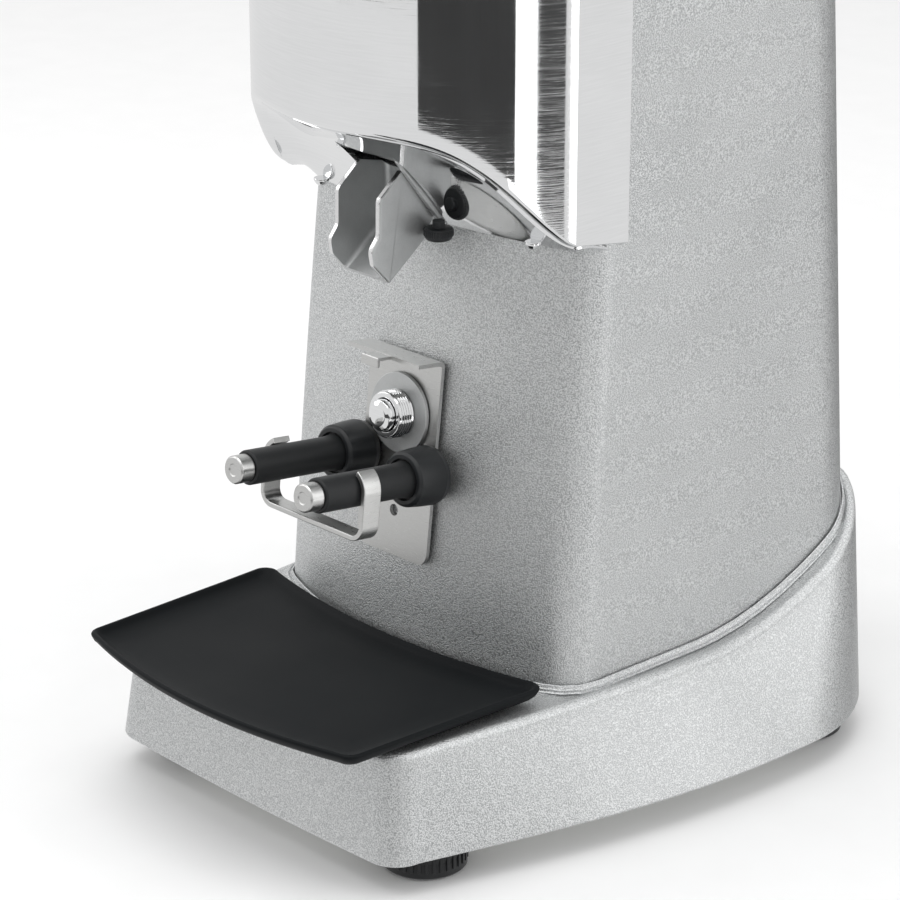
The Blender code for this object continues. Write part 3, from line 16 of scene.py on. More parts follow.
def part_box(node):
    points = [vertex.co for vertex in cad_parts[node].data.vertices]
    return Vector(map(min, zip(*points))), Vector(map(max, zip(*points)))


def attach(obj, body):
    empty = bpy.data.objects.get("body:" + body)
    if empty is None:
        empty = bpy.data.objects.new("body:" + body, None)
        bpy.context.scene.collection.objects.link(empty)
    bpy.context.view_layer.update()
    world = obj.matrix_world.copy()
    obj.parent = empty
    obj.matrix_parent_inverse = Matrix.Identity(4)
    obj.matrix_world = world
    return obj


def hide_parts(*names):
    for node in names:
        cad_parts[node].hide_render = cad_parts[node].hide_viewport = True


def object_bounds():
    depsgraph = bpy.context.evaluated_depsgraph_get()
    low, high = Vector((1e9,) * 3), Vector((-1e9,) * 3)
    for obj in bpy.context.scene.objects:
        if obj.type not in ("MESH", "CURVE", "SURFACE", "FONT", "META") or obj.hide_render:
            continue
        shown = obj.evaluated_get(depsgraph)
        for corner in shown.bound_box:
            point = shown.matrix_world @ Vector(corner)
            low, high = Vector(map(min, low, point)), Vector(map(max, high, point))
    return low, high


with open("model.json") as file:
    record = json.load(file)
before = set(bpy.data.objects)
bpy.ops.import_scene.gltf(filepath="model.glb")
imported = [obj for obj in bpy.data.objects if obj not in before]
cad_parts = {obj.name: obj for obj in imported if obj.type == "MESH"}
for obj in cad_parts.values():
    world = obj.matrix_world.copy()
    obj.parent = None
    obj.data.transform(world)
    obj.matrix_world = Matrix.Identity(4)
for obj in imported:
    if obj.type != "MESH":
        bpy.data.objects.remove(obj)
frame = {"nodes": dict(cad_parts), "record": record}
cad_low, cad_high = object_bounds()

MM = 0.001
GAP = 0.3 * MM

# ------------------------------------------------------------- places read from the frame
LIP_Y = cad_low.y
REAR_Y = cad_high.y
LEDGE_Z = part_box("drip_tray")[0].z - GAP
TOP_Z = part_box("column_housing")[1].z
AXIS_Y = (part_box("stator_core")[0].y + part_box("stator_core")[1].y) / 2
COVER_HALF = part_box("front_cover")[1].x
COVER_FRONT_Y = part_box("front_cover")[0].y
COVER_REAR_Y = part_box("front_cover")[1].y
COLUMN_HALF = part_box("column_housing")[1].x
BASE_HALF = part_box("base_casting")[1].x
DECK_TOP_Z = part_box("top_casting")[1].z

# -------------------------------------------------------------------- shape of the casings
COLUMN_FRONT_Y = LIP_Y + 94 * MM
COLUMN_REAR_Y = REAR_Y - 6.5 * MM
SIDE_TAPER = 0.028
FRONT_TAPER = 0.113
REAR_TAPER = 0.047
FRONT_BOW = 170 * MM
BOW_GROWTH = 0.54
COLUMN_FRONT_CORNER = 16 * MM
COLUMN_REAR_CORNER = 29 * MM
COLUMN_WALL = 3 * MM
DECK_RISE = 40 * MM
RISE_LENGTH = 106 * MM
SKIRT_Z = 12 * MM
SKIRT_WALL = 3.5 * MM
COVER_BOW = 84 * MM
COVER_CORNER = 20 * MM
RIM_HIGH = 204 * MM
RIM_LOW = 166.5 * MM
CHIN_Z = LEDGE_Z + 163 * MM
FRONT_TILT = math.atan(FRONT_TAPER)
HOOK_Z = LEDGE_Z + 113 * MM
ARM_DROP = 42 * MM
ARM_SPACING = 19 * MM
SWITCH_DROP = 23.5 * MM


# ============================================================================== finishes
def maths(operation, swapped=False):
    """An operator that adds a Math node. Swapped is for a plain number on the left."""

    def operator(self, other):
        first, second = (other, self) if swapped else (self, other)
        return self.finish.node("ShaderNodeMath", {"operation": operation}, {0: first, 1: second})

    return operator


class Signal:
    """One output of a shader node. Arithmetic on it adds Math nodes."""

    def __init__(self, finish, socket):
        self.finish = finish
        self.socket = socket

    __add__ = maths("ADD")
    __radd__ = maths("ADD", swapped=True)
    __sub__ = maths("SUBTRACT")
    __rsub__ = maths("SUBTRACT", swapped=True)
    __mul__ = maths("MULTIPLY")
    __rmul__ = maths("MULTIPLY", swapped=True)
    __truediv__ = maths("DIVIDE")
    __rtruediv__ = maths("DIVIDE", swapped=True)
    above = maths("GREATER_THAN")


class Finish:
    """A material on a Principled shader, with helpers for what varies over the surface."""

    def __init__(self, name, colour, roughness, metallic=0.0, **fixed):
        self.material = bpy.data.materials.new(name)
        self.material.use_nodes = True
        self.tree = self.material.node_tree
        self.shader = self.tree.nodes["Principled BSDF"]
        self.shader.inputs["Base Color"].default_value = (*colour, 1.0)
        self.shader.inputs["Roughness"].default_value = roughness
        self.shader.inputs["Metallic"].default_value = metallic
        for socket, value in fixed.items():
            self.shader.inputs[socket.replace("_", " ")].default_value = value

    def node(self, kind, settings=None, values=None, output=0):
        made = self.tree.nodes.new(kind)
        for key, value in (settings or {}).items():
            if key == "stops":
                self.set_stops(made.color_ramp, value)
            else:
                setattr(made, key, value)
        for key, value in (values or {}).items():
            self.feed(made.inputs[key], value)
        return Signal(self, made.outputs[output])

    def set_stops(self, ramp, stops):
        while len(ramp.elements) < len(stops):
            ramp.elements.new(0.5)
        for element, (place, shade) in zip(ramp.elements, stops):
            element.position = place
            element.color = (shade, shade, shade, 1.0)

    def feed(self, socket, value):
        if isinstance(value, Signal):
            self.tree.links.new(value.socket, socket)
        else:
            socket.default_value = value

    def coordinates(self, stretch=(1, 1, 1), turn=(0, 0, 0), shift=(0, 0, 0)):
        place = self.node("ShaderNodeTexCoord", output="Object")
        values = {"Vector": place, "Scale": stretch, "Rotation": turn, "Location": shift}
        return self.node("ShaderNodeMapping", {}, values)

    def grain(self, size, detail=2.0, stretch=(1, 1, 1), turn=(0, 0, 0)):
        """Noise from 0 to 1 whose grains are about this long where stretch is 1."""
        values = {"Vector": self.coordinates(stretch, turn), "Scale": 1 / size, "Detail": detail}
        return self.node("ShaderNodeTexNoise", {}, values)

    def ramp(self, factor, *stops):
        return self.node("ShaderNodeValToRGB", {"stops": stops}, {"Fac": factor})

    def tint(self, factor, dark, light):
        """A colour between two, by factor."""
        values = {0: factor, 6: (*dark, 1.0), 7: (*light, 1.0)}
        return self.node("ShaderNodeMix", {"data_type": "RGBA"}, values, output=2)

    def colour(self, value):
        self.feed(self.shader.inputs["Base Color"], value)
        return self

    def roughness(self, value):
        self.feed(self.shader.inputs["Roughness"], value)
        return self

    def bump(self, height, depth, strength=1.0):
        values = {"Height": height, "Distance": depth, "Strength": strength}
        self.feed(self.shader.inputs["Normal"], self.node("ShaderNodeBump", {}, values))
        return self


def silver_paint():
    """Metallic stoving paint: fine light and dark flakes over a slightly orange-peeled coat."""
    made = Finish("silver paint", (0.6, 0.6, 0.6), 0.4, 0.9)
    flakes = made.ramp(made.grain(0.5 * MM, 1.0), (0.38, 0.0), (0.62, 1.0))
    clouds = made.grain(40 * MM, 2.0)
    shade = flakes * 0.8 + clouds * 0.2
    made.colour(made.tint(shade, (0.42, 0.43, 0.435), (0.8, 0.81, 0.81)))
    made.roughness(0.32 + flakes * 0.16)
    made.bump(flakes * 0.8 + made.grain(1.8 * MM, 1.0) * 0.2, 0.1 * MM)
    return made.material


def chrome():
    """Polished steel. Fine level brushing is left on the rounded corners of the cover."""
    made = Finish("polished chrome", (0.86, 0.865, 0.87), 0.05, 1.0)
    hairs = made.ramp(made.grain(9 * MM, 3.0, (0.6, 0.6, 16)), (0.3, 0.0), (0.7, 1.0))
    cloud = made.ramp(made.grain(26 * MM, 2.0), (0.4, 0.0), (0.7, 1.0))
    place = made.node("ShaderNodeTexCoord", output="Object")
    across = made.node("ShaderNodeSeparateXYZ", {}, {"Vector": place})
    side = made.node("ShaderNodeMath", {"operation": "ABSOLUTE"}, {0: across})
    values = {"Value": side, "From Min": COVER_HALF - 9 * MM, "From Max": COVER_HALF - 1.2 * MM}
    corner = made.node("ShaderNodeMapRange", {}, values)
    brushed = corner * (1.0 - side.above(COVER_HALF - 0.3 * MM))
    made.colour(made.tint(hairs * 0.6 + cloud * 0.4, (0.84, 0.845, 0.85), (0.9, 0.905, 0.91)))
    made.roughness(0.035 + hairs * cloud * 0.04 + hairs * brushed * 0.17)
    made.bump(hairs * (0.15 + brushed), 0.012 * MM)
    return made.material


def brushed_steel():
    made = Finish("brushed stainless steel", (0.6, 0.6, 0.59), 0.3, 1.0)
    lines = made.grain(5 * MM, 4.0, (1, 1, 40))
    fine = made.grain(1.2 * MM, 2.0, (0.3, 0.3, 20))
    made.colour(made.tint(lines * 0.6 + fine * 0.4, (0.5, 0.5, 0.49), (0.74, 0.74, 0.73)))
    made.roughness(0.2 + lines * 0.22)
    made.bump(fine, 0.01 * MM)
    return made.material


def cast_aluminium():
    """Tumbled casting: mottled grey with a soft grain."""
    made = Finish("cast aluminium", (0.5, 0.51, 0.51), 0.4, 0.85)
    mottle = made.grain(7 * MM, 4.0)
    sand = made.grain(0.5 * MM, 2.0)
    made.colour(made.tint(mottle * 0.7 + sand * 0.3, (0.44, 0.45, 0.45), (0.68, 0.69, 0.69)))
    made.roughness(0.34 + mottle * 0.2)
    made.bump(sand * 0.5 + mottle * 0.5, 0.05 * MM)
    return made.material


def machined_edge():
    """Bright filed faces of the casting."""
    made = Finish("machined aluminium", (0.8, 0.8, 0.8), 0.2, 1.0)
    marks = made.grain(1.5 * MM, 3.0, (1, 12, 1))
    made.colour(made.tint(marks, (0.7, 0.7, 0.7), (0.9, 0.9, 0.9)))
    made.roughness(0.12 + marks * 0.2)
    made.bump(marks, 0.02 * MM)
    return made.material


def black_coat(name, dark, light, rough, grain_size, depth, gloss=0.5, sheen=0.0):
    """A moulded or coated black: grain in the surface and slow patches of shine."""
    made = Finish(name, dark, rough, 0.0, Sheen_Weight=sheen, Specular_IOR_Level=gloss)
    grain = made.grain(grain_size, 2.0)
    patches = made.ramp(made.grain(45 * MM, 3.0), (0.35, 0.0), (0.75, 1.0))
    made.colour(made.tint(grain * 0.5 + patches * 0.5, dark, light))
    made.roughness(rough - 0.06 + patches * 0.1 + grain * 0.04)
    made.bump(grain, depth)
    return made.material


def zinc_plate():
    made = Finish("zinc plate", (0.55, 0.55, 0.53), 0.36, 1.0)
    bloom = made.node("ShaderNodeTexVoronoi", {}, {"Vector": made.coordinates(), "Scale": 180.0})
    haze = made.grain(10 * MM, 3.0)
    made.colour(made.tint(bloom * 0.5 + haze * 0.5, (0.44, 0.45, 0.45), (0.66, 0.66, 0.62)))
    made.roughness(0.28 + haze * 0.2)
    made.bump(haze, 0.02 * MM)
    return made.material


def laminations():
    """A stack of thin varnished sheets, seen edge on."""
    made = Finish("motor laminations", (0.2, 0.2, 0.21), 0.45, 0.8)
    values = {"Vector": made.coordinates(), "Scale": 320.0, "Distortion": 0.2}
    sheets = made.node("ShaderNodeTexWave", {"bands_direction": "Z"}, values)
    rust = made.grain(6 * MM, 4.0)
    made.colour(made.tint(sheets * 0.6 + rust * 0.4, (0.09, 0.09, 0.1), (0.3, 0.3, 0.31)))
    made.roughness(0.4 + rust * 0.2)
    made.bump(sheets, 0.15 * MM)
    return made.material


def copper_winding():
    """Enamelled wire wound round a ring."""
    made = Finish("enamelled copper", (0.5, 0.2, 0.07), 0.3, 0.85)
    values = {"Vector": made.coordinates(shift=(0, -AXIS_Y, 0)), "Scale": 260.0, "Distortion": 1.5}
    wires = made.node("ShaderNodeTexWave", {"bands_direction": "DIAGONAL"}, values)
    shade = made.grain(8 * MM, 3.0)
    made.colour(made.tint(wires * 0.5 + shade * 0.5, (0.26, 0.08, 0.025), (0.66, 0.28, 0.1)))
    made.roughness(0.24 + shade * 0.15)
    made.bump(wires, 0.3 * MM)
    return made.material


def clear_plastic():
    """Smoky polycarbonate with faint rub marks."""
    made = Finish("clear polycarbonate", (0.93, 0.93, 0.92), 0.03, 0.0, Transmission_Weight=1.0, IOR=1.45)
    rubs = made.ramp(made.grain(14 * MM, 5.0, (1, 1, 8)), (0.45, 0.0), (0.8, 1.0))
    made.colour(made.tint(rubs, (0.93, 0.93, 0.92), (0.86, 0.87, 0.87)))
    made.roughness(0.02 + rubs * 0.08)
    made.bump(made.grain(60 * MM, 1.0), 0.15 * MM)
    return made.material


def display_glass():
    made = Finish("display glass", (0.012, 0.018, 0.022), 0.08, 0.0, Coat_Weight=1.0)
    dots = made.node("ShaderNodeTexVoronoi", {}, {"Vector": made.coordinates(), "Scale": 900.0})
    smear = made.grain(9 * MM, 3.0)
    made.colour(made.tint(dots * 0.6 + smear * 0.4, (0.008, 0.012, 0.016), (0.03, 0.045, 0.055)))
    made.roughness(0.04 + smear * 0.08)
    return made.material


def circuit_board():
    """Green lacquer over copper tracks."""
    made = Finish("circuit board", (0.02, 0.15, 0.06), 0.4)
    values = {"Vector": made.coordinates(turn=(math.pi / 2, 0, 0)), "Scale": 260.0, "Mortar Size": 0.03}
    tracks = made.node("ShaderNodeTexBrick", {}, values, output="Fac")
    mottle = made.grain(4 * MM, 2.0)
    made.colour(made.tint(tracks * 0.6 + mottle * 0.4, (0.01, 0.09, 0.035), (0.05, 0.3, 0.12)))
    made.roughness(0.3 + mottle * 0.2)
    made.bump(tracks, 0.1 * MM)
    return made.material


def mark_paint():
    made = Finish("white marking paint", (0.75, 0.75, 0.73), 0.5)
    wear = made.grain(0.8 * MM, 3.0)
    made.colour(made.tint(wear, (0.6, 0.6, 0.58), (0.85, 0.85, 0.83)))
    made.bump(wear, 0.02 * MM)
    return made.material


def floor_paper():
    made = Finish("pale paper", (0.9, 0.9, 0.9), 0.8)
    fibres = made.grain(30 * MM, 3.0)
    made.colour(made.tint(fibres, (0.88, 0.88, 0.88), (0.92, 0.92, 0.92)))
    return made.material


FINISHES = {
    "silver_paint": silver_paint(),
    "chrome": chrome(),
    "brushed_steel": brushed_steel(),
    "cast_aluminium": cast_aluminium(),
    "matt_black": black_coat(
        "matt black tray", (0.0045, 0.0055, 0.0063), (0.009, 0.0105, 0.0118), 0.5, 0.4 * MM, 0.03 * MM, 0.1
    ),
    "black_plastic": black_coat(
        "black moulded plastic", (0.008, 0.009, 0.01), (0.02, 0.022, 0.024), 0.38, 0.35 * MM, 0.02 * MM, 0.4
    ),
    "black_rubber": black_coat(
        "black rubber", (0.007, 0.008, 0.009), (0.018, 0.019, 0.02), 0.5, 0.6 * MM, 0.03 * MM, 0.35, 0.05
    ),
    "zinc_plate": zinc_plate(),
    "laminations": laminations(),
    "copper_winding": copper_winding(),
    "clear_hopper": clear_plastic(),
    "display_glass": display_glass(),
    "circuit_board": circuit_board(),
}
MACHINED = machined_edge()
MARKS = mark_paint()


# ====================================================================== making of meshes
def placed(name, data):
    """A new object in the scene."""
    obj = bpy.data.objects.new(name, data)
    bpy.context.scene.collection.objects.link(obj)
    return obj


def piece(name, mesh, slot, body, nodes=(), angle=32, weighted=True):
    """A finished piece: smooth shading, its finish, its body and the CAD nodes it stands for."""
    mesh.shade_smooth()
    mesh.set_sharp_from_angle(angle=math.radians(angle))
    obj = placed(name, mesh)
    if not mesh.materials:
        mesh.materials.append(FINISHES[slot])
    if weighted:
        even = obj.modifiers.new("even shading", "WEIGHTED_NORMAL")
        even.keep_sharp = True
    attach(obj, body)
    if nodes:
        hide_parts(*nodes)
    return obj


def mesh_of(name, points, faces, place=None):
    mesh = bpy.data.meshes.new(name)
    mesh.from_pydata([tuple(p) for p in points], [], faces)
    if place is not None:
        mesh.transform(place)
    mesh.validate()
    mesh.update()
    return mesh


def woven(name, rows, around=True, shut=False, caps=False, place=None):
    """Quads between rows of points; rows run anticlockwise from above, lowest row first."""
    count = len(rows[0])
    points = [point for row in rows for point in row]
    faces = []
    pairs = [(index, index + 1) for index in range(len(rows) - 1)]
    if shut:
        pairs.append((len(rows) - 1, 0))
    for low, high in pairs:
        for index in range(count if around else count - 1):
            after = (index + 1) % count
            corners = (low * count + index, low * count + after)
            faces.append((*corners, high * count + after, high * count + index))
    if caps and around:
        faces.append(tuple(reversed(range(count))))
        faces.append(tuple(range((len(rows) - 1) * count, len(rows) * count)))
    if caps and not around:
        faces.append(tuple(index * count for index in range(len(rows))))
        faces.append(tuple(index * count + count - 1 for index in reversed(range(len(rows)))))
    return mesh_of(name, points, faces, place)


def turned(name, profile, place, steps=64):
    """A turned mesh. The profile runs down its outer side and ends on the axis or shuts on itself."""
    points = []
    rings = []
    for radius, height in profile:
        if radius < 1e-7:
            rings.append([len(points)] * steps)
            points.append((0.0, 0.0, height))
            continue
        start = len(points)
        rings.append(list(range(start, start + steps)))
        for step in range(steps):
            angle = 2 * math.pi * step / steps
            points.append((radius * math.cos(angle), radius * math.sin(angle), height))
    pairs = list(zip(rings, rings[1:]))
    if profile[0][0] > 1e-7:
        pairs.append((rings[-1], rings[0]))
    faces = []
    for upper, lower in pairs:
        for step in range(steps):
            after = (step + 1) % steps
            corners = [lower[step], lower[after], upper[after], upper[step]]
            kept = [c for index, c in enumerate(corners) if c not in corners[:index]]
            if len(kept) > 2:
                faces.append(tuple(kept))
    return mesh_of(name, points, faces, place)


def soften(points, radius, steps=4, shut=True):
    """Round the corners of a flat outline or profile. A point may carry its own radius."""
    result = []
    count = len(points)
    for index, point in enumerate(points):
        here = Vector(point[:2])
        reach = point[2] if len(point) > 2 else radius
        at_end = not shut and index in (0, count - 1)
        before = Vector(points[index - 1][:2]) - here
        after = Vector(points[(index + 1) % count][:2]) - here
        if at_end or reach <= 0 or before.length < 1e-9 or after.length < 1e-9:
            result.append(tuple(here))
            continue
        turn = before.angle(after)
        if turn > math.radians(172):
            result.append(tuple(here))
            continue
        setback = min(reach / math.tan(turn / 2), 0.46 * before.length, 0.46 * after.length)
        start = here + before.normalized() * setback
        end = here + after.normalized() * setback
        for step in range(steps + 1):
            t = step / steps
            result.append(tuple(start * (1 - t) ** 2 + here * 2 * t * (1 - t) + end * t**2))
    return result


def arc(centre, radius, start, end, count):
    points = []
    for step in range(count + 1):
        angle = math.radians(start + (end - start) * step / count)
        points.append((centre[0] + radius * math.cos(angle), centre[1] + radius * math.sin(angle)))
    return points


def inset(outline, distance):
    """Move each point of a closed anticlockwise outline inwards."""
    moved = []
    for index, point in enumerate(outline):
        here = Vector(point)
        first = (here - Vector(outline[index - 1])).normalized()
        second = (Vector(outline[(index + 1) % len(outline)]) - here).normalized()
        inward = Vector((-first.y - second.y, first.x + second.x)).normalized()
        share = max(0.5, inward.dot(Vector((-first.y, first.x))))
        moved.append(tuple(here + inward * distance / share))
    return moved


def plate(name, outline, low, high, edge, place=None, steps=3):
    """A flat anticlockwise outline made solid between two heights, with rounded edges."""
    rows = []
    for step in range(steps + 1):
        angle = math.pi / 2 * step / steps
        ring = inset(outline, edge * (1 - math.sin(angle)))
        rows.append([(x, y, low + edge * (1 - math.cos(angle))) for x, y in ring])
    for step in range(steps + 1):
        angle = math.pi / 2 * step / steps
        ring = inset(outline, edge * (1 - math.cos(angle)))
        rows.append([(x, y, high - edge * (1 - math.sin(angle))) for x, y in ring])
    return woven(name, rows, caps=True, place=place)


def joined(name, meshes):
    """Several closed meshes as one. Their finishes are not carried over."""
    points = []
    faces = []
    for mesh in meshes:
        start = len(points)
        points += [v.co.copy() for v in mesh.vertices]
        faces += [tuple(start + v for v in p.vertices) for p in mesh.polygons]
    return mesh_of(name, points, faces)


def carved(mesh, cutters, operation="DIFFERENCE"):
    """The mesh after a Boolean with each cutter mesh."""
    obj = placed("work", mesh)
    tools = []
    for cutter in cutters:
        tool = placed("tool", cutter)
        tools.append(tool)
        step = obj.modifiers.new("cut", "BOOLEAN")
        step.operation = operation
        step.solver = "EXACT"
        step.object = tool
    result = settled(obj)
    for tool in tools:
        bpy.data.objects.remove(tool, do_unlink=True)
    return result


def settled(obj):
    """The evaluated mesh of a working object, which is removed."""
    bpy.context.view_layer.update()
    graph = bpy.context.evaluated_depsgraph_get()
    mesh = bpy.data.meshes.new_from_object(obj.evaluated_get(graph))
    bpy.data.objects.remove(obj, do_unlink=True)
    return mesh


def worked(mesh, *modifiers):
    """The mesh after modifiers, each given as (type, settings)."""
    obj = placed("work", mesh)
    for kind, settings in modifiers:
        step = obj.modifiers.new(kind.lower(), kind)
        for key, value in settings.items():
            setattr(step, key, value)
    return settled(obj)


def walled(mesh, wall):
    settings = {"thickness": wall, "offset": -1.0, "use_even_offset": True}
    settings["use_quality_normals"] = True
    return worked(mesh, ("SOLIDIFY", settings))


def bevelled(mesh, width, segments=3, degrees=35):
    settings = {"width": width, "segments": segments, "limit_method": "ANGLE"}
    settings["angle_limit"] = math.radians(degrees)
    return worked(mesh, ("BEVEL", settings))


def block(size, centre, place=None, edge=0.0):
    """A box with rounded upright and level edges."""
    x, y, z = (s / 2 for s in size)
    outline = soften([(-x, -y), (x, -y), (x, y), (-x, y)], edge, 3) if edge else None
    outline = outline or [(-x, -y), (x, -y), (x, y), (-x, y)]
    where = (place or Matrix()) @ Matrix.Translation(centre)
    if edge:
        return plate("block", outline, -z, z, edge * 0.7, where)
    rows = [[(px, py, level) for px, py in outline] for level in (-z, z)]
    return woven("block", rows, caps=True, place=where)


def ring_profile(outer, inner, low, high, edge):
    return soften([(outer, high), (outer, low), (inner, low), (inner, high)], edge)


def knob_profile(*points, edge):
    """A profile that starts and ends on the axis."""
    return soften(list(points), edge, shut=False)


SIDE_ON = Matrix(((0, 0, 1, 0), (1, 0, 0, 0), (0, 1, 0, 0), (0, 0, 0, 1)))


# ============================================================== repeated detail, by nodes
def copies_tree(name, ring):
    """A tree that copies one piece to points, or round a ring, and gives it a finish."""
    tree = bpy.data.node_groups.new(name, "GeometryNodeTree")
    face = tree.interface
    face.new_socket("Geometry", in_out="INPUT", socket_type="NodeSocketGeometry")
    face.new_socket("Copied piece", in_out="INPUT", socket_type="NodeSocketObject")
    face.new_socket("Finish", in_out="INPUT", socket_type="NodeSocketMaterial")
    if ring:
        face.new_socket("Count", in_out="INPUT", socket_type="NodeSocketInt")
        face.new_socket("Ring radius", in_out="INPUT", socket_type="NodeSocketFloat")
        face.new_socket("First angle", in_out="INPUT", socket_type="NodeSocketFloat")
        face.new_socket("Sweep", in_out="INPUT", socket_type="NodeSocketFloat")
    face.new_socket("Geometry", in_out="OUTPUT", socket_type="NodeSocketGeometry")
    nodes = tree.nodes
    link = tree.links.new
    given = nodes.new("NodeGroupInput")
    result = nodes.new("NodeGroupOutput")
    copied = nodes.new("GeometryNodeObjectInfo")
    link(given.outputs["Copied piece"], copied.inputs["Object"])
    place = nodes.new("GeometryNodeInstanceOnPoints")
    link(copied.outputs["Geometry"], place.inputs["Instance"])
    if ring:
        link(ring_points(tree, given, place), place.inputs["Points"])
    else:
        turn = nodes.new("GeometryNodeInputNamedAttribute")
        turn.data_type = "FLOAT_VECTOR"
        turn.inputs["Name"].default_value = "turn"
        link(given.outputs["Geometry"], place.inputs["Points"])
        link(turn.outputs["Attribute"], place.inputs["Rotation"])
    real = nodes.new("GeometryNodeRealizeInstances")
    coat = nodes.new("GeometryNodeSetMaterial")
    link(place.outputs["Instances"], real.inputs["Geometry"])
    link(real.outputs["Geometry"], coat.inputs["Geometry"])
    link(given.outputs["Finish"], coat.inputs["Material"])
    link(coat.outputs["Geometry"], result.inputs["Geometry"])
    return tree


def ring_points(tree, given, place):
    """Points round a ring, each turned to face outwards."""
    nodes = tree.nodes
    link = tree.links.new

    def maths(operation, first, second):
        made = nodes.new("ShaderNodeMath")
        made.operation = operation
        for socket, value in zip(made.inputs, (first, second)):
            if isinstance(value, (int, float)):
                socket.default_value = value
            else:
                link(value, socket)
        return made.outputs[0]

    points = nodes.new("GeometryNodePoints")
    index = nodes.new("GeometryNodeInputIndex").outputs[0]
    share = maths("DIVIDE", index, given.outputs["Count"])
    angle = maths("ADD", maths("MULTIPLY", share, given.outputs["Sweep"]), given.outputs["First angle"])
    spot = nodes.new("ShaderNodeCombineXYZ")
    radius = given.outputs["Ring radius"]
    link(maths("MULTIPLY", maths("COSINE", angle, 0.0), radius), spot.inputs[0])
    link(maths("MULTIPLY", maths("SINE", angle, 0.0), radius), spot.inputs[1])
    turn = nodes.new("ShaderNodeCombineXYZ")
    link(angle, turn.inputs[2])
    link(given.outputs["Count"], points.inputs["Count"])
    link(spot.outputs[0], points.inputs["Position"])
    link(turn.outputs[0], place.inputs["Rotation"])
    return points.outputs[0]


RING_TREE = copies_tree("ring of copies", True)
POINT_TREE = copies_tree("copies at points", False)


def grown(tree, host, values):
    """The plain mesh that a tree makes on a host mesh."""
    obj = placed("host", host)
    step = obj.modifiers.new("copies", "NODES")
    step.node_group = tree
    for item in tree.interface.items_tree:
        if item.in_out == "INPUT" and item.name in values:
            step[item.identifier] = values[item.name]
    mesh = settled(obj)
    bpy.data.objects.remove(values["Copied piece"], do_unlink=True)
    return mesh


def ring_of(mesh, count, radius, finish, place, first=0.0, sweep=2 * math.pi):
    """Copies of a mesh round a ring in the XY plane, then put in place."""
    values = {"Copied piece": placed("copied", mesh), "Finish": finish, "Count": count}
    values.update({"Ring radius": radius, "First angle": first, "Sweep": sweep})
    made = grown(RING_TREE, bpy.data.meshes.new("seed"), values)
    made.transform(place)
    return made


def copies_at(mesh, places, finish):
    """Copies of a mesh at full places (matrices)."""
    host = bpy.data.meshes.new("places")
    host.from_pydata([tuple(p.to_translation()) for p in places], [], [])
    turn = host.attributes.new("turn", "FLOAT_VECTOR", "POINT")
    for entry, place in zip(turn.data, places):
        entry.vector = tuple(place.to_euler())
    return grown(POINT_TREE, host, {"Copied piece": placed("copied", mesh), "Finish": finish})


def hexagon_of(radius):
    return arc((0, 0), radius, 0, 300, 5)


def screw_head(radius, height, socket_radius, socket_depth):
    """A button head with a hexagon socket, standing on z = 0."""
    dome = knob_profile(
        (0.0, height),
        (radius * 0.62, height, height * 0.5),
        (radius, height * 0.35),
        (radius, 0.0),
        (0.0, 0.0),
        edge=height * 0.2,
    )
    head = turned("head", dome, Matrix(), 28)
    levels = (height - socket_depth, height + 1 * MM)
    rows = [[(x, y, z) for x, y in hexagon_of(socket_radius)] for z in levels]
    return carved(head, [woven("socket", rows, caps=True)])


# ===================================================================== casing outlines
def whole(right_half):
    """Close a right half, front to rear, with its mirror image, anticlockwise from above."""
    return right_half + [(-x, y) for x, y in reversed(right_half[1:-1])]


def bowed_front(half, front_y, bow, corner, front_steps, corner_steps):
    corner_x = half - corner
    corner_y = front_y + bow - math.sqrt((bow - corner) ** 2 - corner_x**2)
    meet = math.atan2(corner_x, front_y + bow - corner_y)
    points = []
    for step in range(front_steps + 1):
        angle = meet * step / front_steps
        points.append((bow * math.sin(angle), front_y + bow * (1 - math.cos(angle))))
    for step in range(1, corner_steps + 1):
        angle = meet + (math.pi / 2 - meet) * step / corner_steps
        points.append((corner_x + corner * math.sin(angle), corner_y - corner * math.cos(angle)))
    return points


def column_half(z, grow=0.0):
    """Right half of the column's outline at a height, made larger by grow."""
    rise = z - LEDGE_Z
    half = COLUMN_HALF - SIDE_TAPER * rise + grow
    front_y = COLUMN_FRONT_Y + FRONT_TAPER * rise - grow
    rear_y = COLUMN_REAR_Y - REAR_TAPER * rise + grow
    bow = FRONT_BOW + BOW_GROWTH * rise + grow
    points = bowed_front(half, front_y, bow, COLUMN_FRONT_CORNER + grow, 24, 12)
    corner = COLUMN_REAR_CORNER + grow
    straight = points[-1][1]
    for step in range(1, 16):
        points.append((half, straight + (rear_y - corner - straight) * step / 16))
    points += arc((half - corner, rear_y - corner), corner, 0, 90, 14)
    for share in (0.75, 0.5, 0.25, 0.0):
        points.append(((half - corner) * share, rear_y))
    return points


def deck_z(y):
    start = COLUMN_REAR_Y - RISE_LENGTH
    share = (y - start) / (COLUMN_REAR_Y - start)
    return LEDGE_Z + DECK_RISE * min(1.0, max(0.0, share)) ** 2


def column_foot(lift=0.0, grow=0.0):
    """The column's outline where it stands on the ledge."""
    count = len(whole(column_half(LEDGE_Z)))
    points = [(0.0, 0.0, LEDGE_Z)] * count
    for _ in range(5):
        settled_points = []
        for index, point in enumerate(points):
            place = whole_cached(round(point[2], 6), grow)[index]
            settled_points.append((place[0], place[1], deck_z(place[1]) + lift))
        points = settled_points
    return points


OUTLINES = {}


def whole_cached(z, grow):
    if (z, grow) not in OUTLINES:
        OUTLINES[(z, grow)] = whole(column_half(z, grow))
    return OUTLINES[(z, grow)]


def column_front_y(z):
    return COLUMN_FRONT_Y + FRONT_TAPER * (z - LEDGE_Z)


